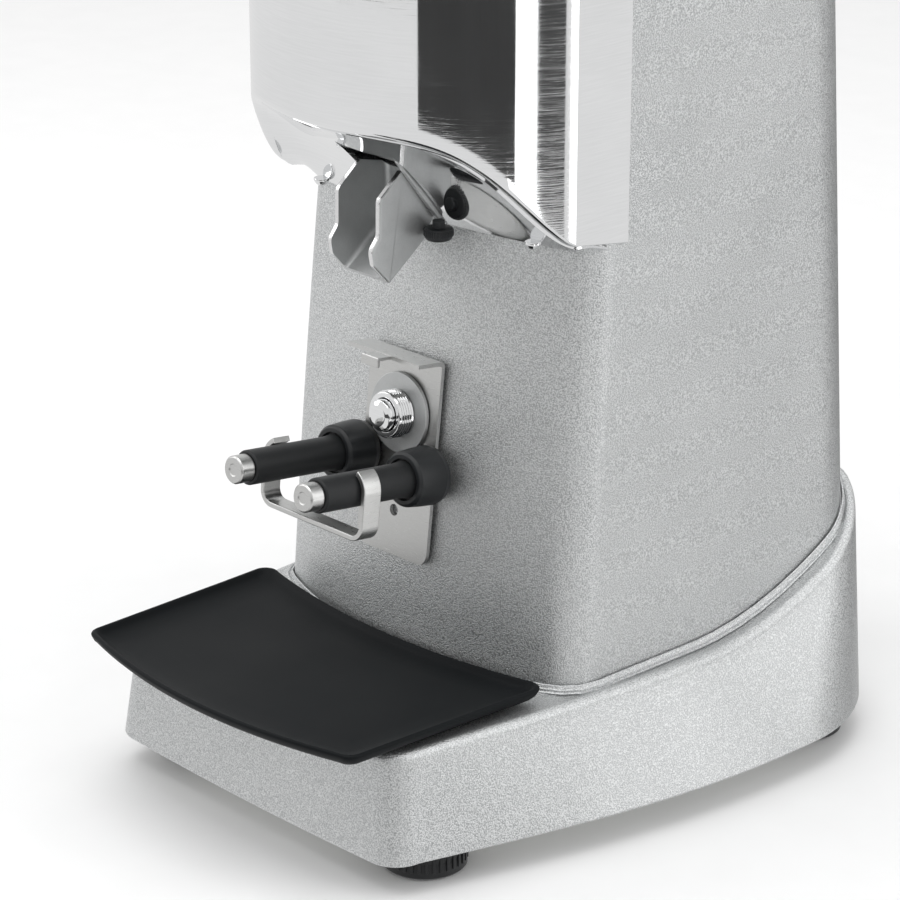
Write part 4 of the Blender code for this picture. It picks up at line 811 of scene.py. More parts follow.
def swept_half(front_y, front_half, half, widest_y, rear_y, rear_corner):
    front_corner = 12 * MM
    flank_y = front_y + 13 * MM
    points = []
    for step in range(13):
        share = step / 12
        x = (front_half - front_corner) * share
        points.append((x, flank_y - front_corner - (1 - share**2) * 1.5 * MM))
    points += arc((front_half - front_corner, flank_y), front_corner, -84, 0, 9)
    for step in range(1, 17):
        share = step / 16
        x = front_half + (half - front_half) * math.sin(math.pi / 2 * share)
        points.append((x, flank_y + (widest_y - flank_y) * share))
    corner_y = rear_y - rear_corner
    for share in (0.25, 0.5, 0.75):
        points.append((half, widest_y + (corner_y - widest_y) * share))
    points += arc((half - rear_corner, corner_y), rear_corner, 0, 90, 26)
    for share in (0.66, 0.33, 0.0):
        points.append(((half - rear_corner) * share, rear_y))
    return points


def base_outlines():
    front_y = LIP_Y + 24 * MM
    bottom = swept_half(front_y, 80 * MM, BASE_HALF, REAR_Y - 88.5 * MM, REAR_Y, 75 * MM)
    top = swept_half(
        front_y + 4 * MM, 76 * MM, 90 * MM, REAR_Y - 100 * MM, REAR_Y - 1.5 * MM, 46 * MM
    )
    return whole(bottom), whole(top)


def same_bearing(ring, middle, seat):
    """Points of the seat, one for each ring point, at the same bearing from the middle."""
    bearings = [math.atan2(p.y - middle.y, p.x - middle.x) for p in seat]
    found = []
    for point in ring:
        wanted = math.atan2(point.y - middle.y, point.x - middle.x)
        best = seat[0]
        for index, start in enumerate(bearings):
            end = bearings[(index + 1) % len(bearings)]
            span = (end - start) % (2 * math.pi)
            offset = (wanted - start) % (2 * math.pi)
            if span < math.pi and offset <= span:
                share = offset / span if span else 0.0
                best = seat[index].lerp(seat[(index + 1) % len(seat)], share)
                break
        found.append(best)
    return found


# ============================================================================ base
def make_base():
    bottom, top = base_outlines()
    edge = 3.5 * MM
    rows = [[(x, y, SKIRT_Z) for x, y in inset(bottom, 1.0 * MM)]]
    rows.append([(x, y, SKIRT_Z + 0.3 * MM) for x, y in inset(bottom, 0.3 * MM)])
    for step in range(9):
        share = step / 8
        row = []
        for (x, y), (end_x, end_y) in zip(bottom, top):
            high = deck_z(end_y) - edge
            low = SKIRT_Z + 1 * MM
            row.append((x + (end_x - x) * share, y + (end_y - y) * share, low + (high - low) * share))
        rows.append(row)
    for step in range(1, 8):
        angle = math.pi / 2 * step / 7
        ring = inset(top, edge * (1 - math.cos(angle)))
        rows.append([(x, y, deck_z(y) - edge * (1 - math.sin(angle))) for x, y in ring])
    middle = Vector((0.0, (COLUMN_FRONT_Y + COLUMN_REAR_Y) / 2, 0.0))
    seat = [Vector(p) for p in column_foot(0.0, 1.0 * MM)]
    ledge = [Vector(p) for p in rows[-1]]
    inner = same_bearing(ledge, middle, seat)
    for share in (0.15, 0.4, 0.65, 0.86):
        row = []
        for outer, place in zip(ledge, inner):
            point = outer.lerp(place, share)
            dip = 0.5 * MM * math.sin(math.pi * share)
            row.append((point.x, point.y, deck_z(point.y) - dip))
        rows.append(row)
    bead = ((2.4, 0.1), (1.2, 0.5), (0.5, 1.3), (0.2, 2.2), (-0.3, 2.4), (-0.6, 1.6), (-0.6, -3.0))
    for back, lift in bead:
        row = []
        for outer, place in zip(ledge, inner):
            outward = Vector((outer.x - place.x, outer.y - place.y, 0.0))
            room = min(back * MM, 0.5 * outward.length) if back > 0 else back * MM
            point = place + outward.normalized() * room
            row.append((point.x, point.y, deck_z(point.y) + lift * MM))
        rows.append(row)
    shell = walled(woven("base", rows), SKIRT_WALL * 0.6)
    piece("base_casting_skin", shell, "silver_paint", "machine", ["base_casting"], 40)


def foot_spots():
    spots = []
    for node in ("foot_front_left", "foot_front_right", "foot_rear_left", "foot_rear_right"):
        low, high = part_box(node)
        spots.append((node, (low + high) / 2, (high.x - low.x) / 2, high.z))
    return spots


def make_feet():
    for node, centre, radius, high in foot_spots():
        place = Matrix.Translation((centre.x, centre.y, 0))
        profile = soften(
            [
                (radius - 2 * MM, high),
                (radius, high - 3 * MM),
                (radius - 1.0 * MM, 6.5 * MM),
                (radius - 0.6 * MM, 1.2 * MM),
                (radius - 2 * MM, 0.0),
                (8 * MM, 0.0),
                (7 * MM, 3 * MM),
                (2.9 * MM, 3 * MM),
                (2.9 * MM, high),
            ],
            0.6 * MM,
        )
        body = turned("foot", profile, place, 56)
        rib = block((0.9 * MM, 1.3 * MM, high - 6 * MM), (0, 0, high / 2 + 0.2 * MM), None, 0.3 * MM)
        ribs = ring_of(rib, 36, radius - 0.75 * MM, FINISHES["black_rubber"], place)
        piece(node + "_rubber", joined(node, [body, ribs]), "black_rubber", "machine", [node])
    turn = Matrix.Rotation(math.pi, 4, "X")
    places = [Matrix.Translation((c.x, c.y, 3.0 * MM)) @ turn for _, c, _, _ in foot_spots()]
    heads = copies_at(screw_head(5 * MM, 2.4 * MM, 2 * MM, 1.6 * MM), places, FINISHES["zinc_plate"])
    piece("foot_screws", heads, "zinc_plate", "machine")


# ========================================================================== column
def on_front(x, drop, forward=0.0):
    """A frame on the leaning front: its Z axis points out of the front and slightly up."""
    z = HOOK_Z - drop * math.cos(FRONT_TILT)
    lean = Matrix.Rotation(math.pi / 2 - FRONT_TILT, 4, "X")
    origin = Matrix.Translation((x, column_front_y(z), z))
    return origin @ lean @ Matrix.Translation((0, 0, forward))


def slot_outline(half_length, half_height):
    right = arc((half_length - half_height, 0), half_height, -90, 90, 8)
    left = arc((-half_length + half_height, 0), half_height, 90, 270, 8)
    return right + left


def make_column():
    foot = column_foot(0.5 * MM)
    rows = [foot]
    level = deck_z(COLUMN_REAR_Y) + 14 * MM
    for step in range(14):
        z = level + (TOP_Z - level) * step / 13
        rows.append([(x, y, z) for x, y in whole(column_half(z))])
    shell = walled(woven("column", rows), COLUMN_WALL)
    cutters = []
    for index in range(6):
        z = LEDGE_Z + 100 * MM + index * 9 * MM
        y = COLUMN_REAR_Y - REAR_TAPER * (z - LEDGE_Z)
        upright = Matrix.Translation((0, y, z)) @ Matrix.Rotation(math.pi / 2, 4, "X")
        cutters.append(plate("vent", slot_outline(32 * MM, 2 * MM), -9 * MM, 9 * MM, 0.01 * MM, upright))
    duct_z = LEDGE_Z + 194 * MM
    cutters.append(block((25 * MM, 30 * MM, 23 * MM), (0, column_front_y(duct_z), duct_z)))
    low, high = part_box("power_switch_frame")
    cutters.append(block((30 * MM, 21 * MM, 29 * MM), (low + high) / 2))
    shell = carved(shell, cutters)
    piece("column_skin", shell, "silver_paint", "machine", ["column_housing"], 40)


# ==================================================================== chrome front cover
def cover_line(back):
    """The cover's plan from its left rear edge round the front to the right rear, moved in by back."""
    half = bowed_front(COVER_HALF - back, COVER_FRONT_Y + back, COVER_BOW - back, COVER_CORNER - back, 44, 20)
    straight = half[-1][1]
    for step in range(1, 11):
        half.append((half[-1][0], straight + (COVER_REAR_Y - straight) * step / 10))
    return [(-x, y) for x, y in reversed(half[1:])] + half


def rim_z(y):
    reach = COVER_REAR_Y - COVER_FRONT_Y - 22.5 * MM
    share = min(1.0, max(0.0, (y - COVER_FRONT_Y) / reach))
    drop = 3.2 * MM * min(1.0, max(0.0, (y - COVER_FRONT_Y - reach) / (22 * MM)))
    return LEDGE_Z + RIM_LOW + (RIM_HIGH - RIM_LOW) * 0.5 * (1 + math.cos(math.pi * share**1.25)) - drop


def rim_radius(y):
    """Radius of the rolled rim: smaller where the cover runs close beside the column."""
    share = min(1.0, max(0.0, (y - COVER_FRONT_Y) / (56 * MM)))
    return (5.0 - 4.1 * share**3) * MM


def make_cover():
    wall = 1.3 * MM
    outer = cover_line(0.0)
    inner = cover_line(1.0 * MM)
    shape = []
    for (x, y), (in_x, in_y) in zip(outer, inner):
        inward = Vector((in_x - x, in_y - y)) / (1.0 * MM)
        shape.append((Vector((x, y)), inward, rim_z(y), rim_radius(y)))
    rows = []

    def row_at(back_and_z):
        row = []
        for point, inward, rim, radius in shape:
            back, z = back_and_z(rim, radius)
            row.append((point.x + inward.x * back, point.y + inward.y * back, z))
        rows.append(row)

    for share in (1.0, 0.6, 0.3, 0.1, 0.0):
        row_at(lambda rim, radius: (wall, rim + radius + (TOP_Z - rim - radius) * share))
    for step in range(1, 9):
        angle = math.pi / 2 * step / 8
        tight = math.sin(angle)
        row_at(lambda rim, radius: (
            wall + (radius - 0.3 * MM) * (1 - math.cos(angle)),
            rim + wall + (radius - wall) * (1 - tight) if radius > wall else rim + radius,
        ))
    for step in range(11):
        angle = math.pi / 2 * (1 - step / 10)
        row_at(lambda rim, radius: (
            (radius + wall - 0.3 * MM) * (1 - math.cos(angle)), rim + radius * (1 - math.sin(angle)),
        ))
    for share in (0.05, 0.15, 0.35, 0.6, 0.85, 1.0):
        row_at(lambda rim, radius: (0.0, rim + radius + (TOP_Z - rim - radius) * share))
    mesh = woven("cover", rows, around=False, shut=True, caps=True)
    piece("front_cover_chrome", mesh, "chrome", "machine", ["front_cover"], 50)


def at_fraction(line, fraction):
    lengths = [(Vector(b) - Vector(a)).length for a, b in zip(line, line[1:])]
    wanted = fraction * sum(lengths)
    for index, length in enumerate(lengths):
        if wanted <= length or index == len(lengths) - 1:
            share = min(1.0, wanted / length)
            return Vector(line[index]).lerp(Vector(line[index + 1]), share)
        wanted -= length
    return Vector(line[-1])


def make_chin():
    """Coved underside between the rolled rim and the column's front."""
    line = cover_line(0.0)
    half = line[len(line) // 2 :][:-9]
    front = column_half(CHIN_Z)[:37]
    count = 60
    levels = 16
    rows = []
    for level in range(levels + 1):
        step = level / levels
        row = []
        for index in range(-count, count + 1):
            side = -1 if index < 0 else 1
            share = abs(index) / count
            edge = at_fraction(half, share)
            back = rim_radius(edge.y) + 1.25 * MM
            centre = Vector((0.0, COVER_FRONT_Y + COVER_BOW))
            outer = edge + (centre - edge).normalized() * back
            inner = at_fraction(front, share * 0.95)
            low = CHIN_Z + 0.6 * MM
            high = rim_z(edge.y) + 0.5 * MM
            cove = 5.5 * MM * math.sin(math.pi * step) * (high - low) / (40 * MM)
            x = inner.x + (outer.x - inner.x) * step
            y = inner.y - 0.6 * MM + (outer.y - inner.y + 0.6 * MM) * step
            row.append((side * x, y, low + (high - low) * step + cove))
        rows.append(row)
    sheet = woven("chin", rows[::-1], around=False)
    sheet = walled(sheet, 1.6 * MM)
    spout_low, spout_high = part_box("spout")
    wide = spout_high.x - spout_low.x + 6.4 * MM
    low_y = COLUMN_FRONT_Y - 9.5 * MM
    high_y = COLUMN_FRONT_Y + 24 * MM
    notch = block((wide, high_y - low_y, 60 * MM), (0, (low_y + high_y) / 2, LEDGE_Z + 180 * MM))
    sheet = carved(sheet, [notch])
    piece("cover_chin_chrome", sheet, "chrome", "machine", ["cover_chin"], 50)


def make_chin_screws():
    for node in ("chin_screw_left", "chin_screw_right"):
        low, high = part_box(node)
        place = Matrix.Translation(((low.x + high.x) / 2, (low.y + high.y) / 2, high.z + 1.4 * MM))
        place = place @ Matrix.Rotation(math.pi, 4, "X")
        head = screw_head((high.x - low.x) / 2, high.z - low.z, 1.4 * MM, 1.2 * MM)
        head.transform(place)
        piece(node + "_head", head, "chrome", "machine", [node])


# ================================================================================ spout
def make_spout():
    y0 = COLUMN_FRONT_Y
    z0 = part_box("exit_duct")[0].z
    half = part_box("spout")[1].x
    wall = 2.3 * MM
    cheek = [
        (y0 - 2.2 * MM, z0 + 1.5 * MM, 0.8 * MM),
        (y0 - 12.6 * MM, z0 - 7.2 * MM, 3.5 * MM),
        (y0 - 12.8 * MM, z0 - 20.5 * MM, 4 * MM),
        (y0 - 16.5 * MM, z0 - 25.0 * MM, 4 * MM),
        (y0 - 15.6 * MM, z0 - 30.5 * MM, 3 * MM),
        (y0 - 8.3 * MM, z0 - 38.5 * MM, 0.8 * MM),
        (y0 + 8.7 * MM, z0 - 25.5 * MM, 4 * MM),
        (y0 + 13.0 * MM, z0 - 18.0 * MM, 4 * MM),
        (y0 + 12.7 * MM, z0 - 4.5 * MM, 2 * MM),
        (y0 + 8.0 * MM, z0 - 0.8 * MM, 1 * MM),
    ]
    outline = soften(cheek, 1 * MM, 5)
    body = plate("spout", outline, -half, half, 0.9 * MM, SIDE_ON)
    channel = [
        (y0 - 26.8 * MM, z0 - 50.4 * MM),
        (y0 - 45 * MM, z0 - 50.4 * MM),
        (y0 - 45 * MM, z0 + 14 * MM),
        (y0 + 7.0 * MM, z0 + 14 * MM),
        (y0 + 12.7 * MM - wall, z0 - 4.0 * MM, 3 * MM),
        (y0 + 13.0 * MM - wall, z0 - 17.4 * MM, 5 * MM),
        (y0 + 7.2 * MM, z0 - 24.4 * MM + 0.5 * wall, 8 * MM),
    ]
    inside = half - wall
    ring = list(reversed(soften(channel, 0.0, 6)))
    body = carved(body, [plate("channel", ring, -inside, inside, 2.2 * MM, SIDE_ON, 5)])
    body = bevelled(body, 0.25 * MM, 2, 50)
    body.materials.clear()
    body.materials.append(FINISHES["cast_aluminium"])
    body.materials.append(MACHINED)
    for face in body.polygons:
        level = abs(face.normal.x) < 0.35
        outward = face.normal.y < -0.25 and abs(face.center.x) > inside - 0.3 * MM
        if level and outward:
            face.material_index = 1
    piece("spout_casting", body, "cast_aluminium", "machine", ["spout"], 30)


def make_saddle():
    """Two cheek plates that hold the spout, with a bridge across behind it."""
    y0 = COLUMN_FRONT_Y
    z0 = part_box("exit_duct")[0].z
    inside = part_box("spout")[1].x + GAP
    wall = 2.2 * MM
    wing = [
        (y0 - 6.6 * MM, z0 + 6.2 * MM, 0.8 * MM),
        (y0 + 12.6 * MM, z0 - 18.2 * MM, 1.5 * MM),
        (y0 + 18.4 * MM, z0 - 17.6 * MM, 4.5 * MM),
        (y0 + 18.4 * MM, z0 - 4.5 * MM, 1 * MM),
        (y0 + 2.0 * MM, z0 + 9.0 * MM, 1 * MM),
    ]
    outline = soften(wing, 1 * MM, 7)
    plates = []
    for side in (-1, 1):
        low, high = sorted((side * inside, side * (inside + wall)))
        plates.append(plate("wing", outline, low, high, 0.5 * MM, SIDE_ON))
    bridge = soften(
        [
            (y0 + 13.6 * MM, z0 - 14.6 * MM),
            (y0 + 16.6 * MM, z0 - 14.6 * MM),
            (y0 + 16.6 * MM, z0 - 5.2 * MM),
            (y0 + 13.6 * MM, z0 - 5.2 * MM),
        ],
        0.8 * MM,
        3,
    )
    plates.append(plate("bridge", bridge, -inside - 1 * MM, inside + 1 * MM, 0.3 * MM, SIDE_ON))
    mesh = carved(plates[0], plates[1:], "UNION")
    piece("spout_saddle_casting", mesh, "cast_aluminium", "machine", ["spout_saddle"], 30)


def make_spout_knob():
    low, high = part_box("spout_knob")
    radius = (high.x - low.x) / 2
    place = Matrix.Translation(((low.x + high.x) / 2, (low.y + high.y) / 2, high.z))
    profile = knob_profile(
        (0.0, 0.0),
        (2.2 * MM, 0.0),
        (2.2 * MM, -2.6 * MM),
        (radius - 0.5 * MM, -2.8 * MM),
        (radius - 0.2 * MM, -5.0 * MM, 2 * MM),
        (radius - 0.9 * MM, -7.2 * MM, 1.6 * MM),
        (0.0, -7.2 * MM),
        edge=0.4 * MM,
    )
    grip = turned("knob", profile, place, 64)
    groove = [(0.0, -3.2 * MM), (0.3 * MM, -3.6 * MM), (0.3 * MM, -5.4 * MM), (0.0, -5.8 * MM)]
    ridge = turned("ridge", soften(groove, 0.2 * MM, shut=False), Matrix(), 8)
    ridges = ring_of(ridge, 36, radius - 0.35 * MM, FINISHES["black_plastic"], place)
    piece("spout_knob_grip", joined("knob", [grip, ridges]), "black_plastic", "knob", ["spout_knob"])


# ================================================================================= tray
def tray_outline():
    front = 74 * MM
    rear = 77.5 * MM
    side_y = LIP_Y + 15 * MM
    corner = 5 * MM
    points = []
    for step in range(17):
        share = step / 16
        points.append(((front - corner) * share, LIP_Y + (15 * MM - corner) * share**2))
    points += arc((front - corner, side_y), corner, -70, 0, 6)
    rear_y = side_y + 85.5 * MM
    for share in (0.25, 0.5, 0.75):
        points.append((front + (rear - front) * share, side_y + (rear_y - side_y) * share))
    points += arc((rear - corner, rear_y - corner), corner, 5, 104, 8)
    for step in range(14, -1, -1):
        share = step / 15
        points.append(((rear - corner) * share, rear_y - 9.5 * MM * (1 - share**2)))
    return whole(points)


def shrunk(outline, distance):
    """Scale an outline towards its middle, so that its extremes move in by distance."""
    low_y = min(y for _, y in outline)
    high_y = max(y for _, y in outline)
    middle = (low_y + high_y) / 2
    across = 1 - distance / max(x for x, _ in outline)
    along = 1 - distance / (high_y - middle)
    return [(x * across, middle + (y - middle) * along) for x, y in outline]


def make_tray():
    """A dished tray with a bead round its lip and an undercut front."""
    outline = tray_outline()
    low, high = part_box("drip_tray")[0].z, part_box("drip_tray")[1].z
    rows = []
    section = [
        (8 * MM, low),
        (4.5 * MM, low + 0.7 * MM),
        (2.2 * MM, low + 1.9 * MM),
        (0.8 * MM, low + 3.3 * MM),
        (0.1 * MM, high - 1.3 * MM),
        (0.0, high - 0.8 * MM),
        (0.2 * MM, high - 0.3 * MM),
        (0.6 * MM, high),
        (1.3 * MM, high),
        (1.9 * MM, high - 0.4 * MM),
        (2.6 * MM, high - 1.4 * MM),
        (4.0 * MM, high - 2.4 * MM),
        (6.5 * MM, high - 3.1 * MM),
        (10.0 * MM, high - 3.5 * MM),
    ]
    for back, z in section:
        rows.append([(x, y, z) for x, y in shrunk(outline, back)])
    for back in (16, 24, 32, 40):
        rows.append([(x, y, section[-1][1]) for x, y in shrunk(outline, back * MM)])
    mesh = woven("tray", rows, caps=True)
    piece("drip_tray_moulding", mesh, "matt_black", "tray", ["drip_tray"], 50, weighted=False)


# ==================================================================== holder and start switch
def make_hook_plate():
    """A plate bent forwards at its top, with a tab and lip at the end of the shelf."""
    wall = 1.5 * MM
    rest = 0.6 * MM
    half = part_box("hook_plate")[1].x
    foot = -78 * MM
    bend = 2.2 * MM
    reach = 13 * MM
    corner = 5 * MM
    section = [(0.0, foot), (0.0, -bend)]
    for degrees in range(15, 91, 15):
        angle = math.radians(degrees)
        section.append((bend - bend * math.cos(angle), -bend + bend * math.sin(angle)))
    section.append((reach, 0.0))
    line = []
    for index, here in enumerate(section):
        before = Vector(section[max(0, index - 1)])
        after = Vector(section[min(len(section) - 1, index + 1)])
        along = (after - before).normalized()
        line.append((Vector(here), Vector((along.y, -along.x))))
    ring = [p for p, _ in line] + [p + normal * wall for p, normal in reversed(line)]
    strip = [[(x, p.y, p.x + rest) for x in (-half, half)] for p in ring]
    bent = woven("strip", strip, around=False, shut=True, caps=True)
    bent.transform(on_front(0, 0))
    cutters = []
    for side in (-1, 1):
        near = side * (half - corner)
        far = side * (half + 1 * MM)
        outline = [(far, foot - 1 * MM), (near, foot - 1 * MM)]
        outline += arc((near, foot + corner), corner, 270, 270 + side * 90, 8)
        outline.append((far, foot + corner))
        if side > 0:
            outline.reverse()
        area = sum(a[0] * b[1] - b[0] * a[1] for a, b in zip(outline, outline[1:] + outline[:1]))
        if area < 0:
            outline.reverse()
        rows = [[(x, y, z) for x, y in outline] for z in (-4 * MM, 8 * MM)]
        cutters.append(woven("corner", rows, caps=True, place=on_front(0, 0)))
    holes = [(0, 61 * MM, 2.2 * MM), (0, SWITCH_DROP, 7.5 * MM)]
    holes += [(side * ARM_SPACING, ARM_DROP, 2.6 * MM) for side in (-1, 1)]
    for x, drop, radius in holes:
        shape = [(0.0, 9 * MM), (radius, 9 * MM), (radius, -9 * MM), (0.0, -9 * MM)]
        cutters.append(turned("hole", shape, on_front(x, drop), 28))
    bent = carved(bent, cutters)
    end = reach + rest
    tab = block((9 * MM, 1.2 * MM, 8 * MM), (0, -0.75 * MM, end + 2.5 * MM), on_front(0, 0), 0.3 * MM)
    lip = block((9 * MM, 3.4 * MM, 1.2 * MM), (0, -2.05 * MM, end + 6 * MM), on_front(0, 0), 0.3 * MM)
    bent = carved(bent, [tab, lip], "UNION")
    bent = bevelled(bent, 0.18 * MM, 2, 45)
    piece("hook_plate_sheet", bent, "brushed_steel", "machine", ["hook_plate"], 30)


def make_fork():
    face = 2.4 * MM
    boss_end = face + 15 * MM
    sleeve_end = boss_end + 41 * MM
    for side, word in ((-1, "left"), (1, "right")):
        way = on_front(side * ARM_SPACING, ARM_DROP)
        bore = 4.8 * MM
        profile = [
            (9.2 * MM, boss_end, 0.8 * MM),
            (10.2 * MM, boss_end - 1 * MM, 0.8 * MM),
            (10.7 * MM, boss_end - 6 * MM, 4 * MM),
            (11 * MM, face + 3 * MM, 1 * MM),
            (10.2 * MM, face, 1.2 * MM),
            (bore, face, 0.2 * MM),
            (bore, boss_end - 1.8 * MM, 0.2 * MM),
            (7.6 * MM, boss_end - 1.8 * MM, 0.3 * MM),
            (7.6 * MM, boss_end, 0.3 * MM),
        ]
        mesh = turned("boss", soften(profile, 0.5 * MM, 5), way, 64)
        piece("fork_boss_%s_moulding" % word, mesh, "black_plastic", "machine", ["fork_boss_" + word])
        profile = [
            (5.9 * MM, sleeve_end, 0.5 * MM),
            (6.4 * MM, sleeve_end - 0.5 * MM, 0.5 * MM),
            (6.4 * MM, boss_end + 3 * MM, 3 * MM),
            (6.9 * MM, boss_end - 1.4 * MM, 0.3 * MM),
            (bore, boss_end - 1.4 * MM, 0.2 * MM),
            (bore, sleeve_end, 0.2 * MM),
        ]
        mesh = turned("sleeve", soften(profile, 0.4 * MM, 5), way, 64)
        piece("fork_sleeve_%s_tube" % word, mesh, "black_rubber", "machine", ["fork_sleeve_" + word])
        tip = sleeve_end + GAP
        profile = knob_profile(
            (0.0, tip + 5.6 * MM),
            (2.0 * MM, tip + 5.6 * MM, 0.3 * MM),
            (2.4 * MM, tip + 6 * MM, 0.3 * MM),
            (4.6 * MM, tip + 6 * MM),
            (5.2 * MM, tip + 5.4 * MM),
            (5.2 * MM, tip),
            (4.5 * MM, tip),
            (4.5 * MM, face + 0.5 * MM),
            (2.3 * MM, face + 0.5 * MM),
            (2.3 * MM, -9 * MM),
            (0.0, -9 * MM),
            edge=0.35 * MM,
        )
        mesh = turned("rod", profile, way, 48)
        piece("fork_rod_%s_bar" % word, mesh, "brushed_steel", "machine", ["fork_rod_" + word])


def make_brace():
    """The U strap that hangs from both arms."""
    inside = 7 * MM
    strap = 2 * MM
    outer = inside + strap
    hang = 9 * MM
    centre = ARM_SPACING
    right_out = arc((centre, 0), outer, 62, 0, 10)
    right_out += arc((centre + outer - 6 * MM, -inside - hang + 4 * MM), 6 * MM, 0, -90, 10)
    right_in = arc((centre + outer - 6 * MM, -inside - hang + 4 * MM), 4 * MM, -90, 0, 10)
    right_in += arc((centre, 0), inside, 0, 62, 10)
    loop = [(-x, y) for x, y in reversed(right_out)]
    ring = right_out + loop + [(-x, y) for x, y in reversed(right_in)] + right_in
    ring = ring[::-1]
    place = on_front(0, ARM_DROP, 2.4 * MM + 15 * MM + 22 * MM)
    mesh = plate("brace", ring, -4 * MM, 4 * MM, 0.4 * MM, place)
    piece("fork_brace_strap", mesh, "brushed_steel", "machine", ["fork_brace"], 35)


def make_switch():
    way = on_front(0, SWITCH_DROP)
    low = 2.4 * MM
    profile = ring_profile(15 * MM, 7.4 * MM, low, low + 1.6 * MM, 0.35 * MM)
    mesh = turned("washer", profile, way, 72)
    piece("switch_washer_ring", mesh, "cast_aluminium", "machine", ["switch_washer"])
    seat = low + 1.6 * MM + GAP
    top = seat + 6.5 * MM
    profile = [(8.2 * MM, top, 0.5 * MM), (8.8 * MM, top - 0.8 * MM, 0.3 * MM)]
    for turn in range(4):
        z = top - 1.4 * MM - turn * 1.15 * MM
        profile += [
            (8.4 * MM, z, 0.15 * MM),
            (9 * MM, z - 0.45 * MM, 0.2 * MM),
            (8.4 * MM, z - 0.9 * MM, 0.15 * MM),
        ]
    profile += [
        (9 * MM, seat, 0.2 * MM),
        (6.8 * MM, seat, 0.0),
        (6.8 * MM, -7 * MM, 0.0),
        (6.35 * MM, -7 * MM, 0.0),
        (6.35 * MM, top, 0.3 * MM),
    ]
    mesh = turned("bezel", soften(profile, 0.2 * MM, 3), way, 64)
    piece("switch_bezel_thread", mesh, "chrome", "machine", ["switch_bezel"])
    head = top + 3.4 * MM
    profile = knob_profile(
        (0.0, head),
        (3.8 * MM, head - 0.2 * MM, 2 * MM),
        (5.6 * MM, head - 0.9 * MM, 1 * MM),
        (6 * MM, head - 1.8 * MM, 0.6 * MM),
        (6 * MM, seat),
        (2.5 * MM, seat),
        (2.5 * MM, -8 * MM),
        (0.0, -8 * MM),
        edge=0.4 * MM,
    )
    piece("start_button_cap", turned("button", profile, way, 56), "chrome", "start_button", ["start_button"])


# ================================================================== top, collar and hopper
def make_top():
    front = bowed_front(COVER_HALF, COVER_FRONT_Y, COVER_BOW, COVER_CORNER, 30, 14)
    straight = front[-1][1]
    front.append((COVER_HALF, straight + 12 * MM))
    rear = column_half(TOP_Z)[-23:]
    blend = []
    start = Vector(front[-1])
    end = Vector(rear[0])
    for share in (0.2, 0.4, 0.6, 0.8):
        smooth = share * share * (3 - 2 * share)
        blend.append((start.x + (end.x - start.x) * smooth, start.y + (end.y - start.y) * share))
    outline = whole(front + blend + rear)
    bottom = TOP_Z + GAP
    top = DECK_TOP_Z
    edge = 5 * MM
    rows = [[(x, y, bottom) for x, y in outline], [(x, y, top - edge) for x, y in outline]]
    for step in range(1, 9):
        angle = math.pi / 2 * step / 8
        ring = inset(outline, edge * (1 - math.cos(angle)))
        rows.append([(x, y, top - edge * (1 - math.sin(angle))) for x, y in ring])
    hole = 44.5 * MM
    for share in (0.3, 0.6, 0.85, 1.0):
        row = []
        for x, y, _ in rows[9]:
            bearing = math.atan2(y - AXIS_Y, x)
            target = (hole * math.cos(bearing), AXIS_Y + hole * math.sin(bearing))
            row.append((x + (target[0] - x) * share, y + (target[1] - y) * share, top))
        rows.append(row)
    deck = walled(woven("deck", rows), 3.5 * MM)
    piece("top_casting_skin", deck, "silver_paint", "machine", ["top_casting"], 40)
    front_x = COVER_HALF - 17 * MM
    rear_y = COLUMN_REAR_Y - 46 * MM
    spots = [(-front_x, COVER_REAR_Y + 1.5 * MM), (front_x, COVER_REAR_Y + 1.5 * MM)]
    spots += [(-front_x + 3 * MM, rear_y), (front_x - 3 * MM, rear_y)]
    places = [Matrix.Translation((x, y, top)) for x, y in spots]
    heads = copies_at(screw_head(4.2 * MM, 2.3 * MM, 1.9 * MM, 1.5 * MM), places, FINISHES["brushed_steel"])
    piece("top_casting_screws", heads, "brushed_steel", "machine")


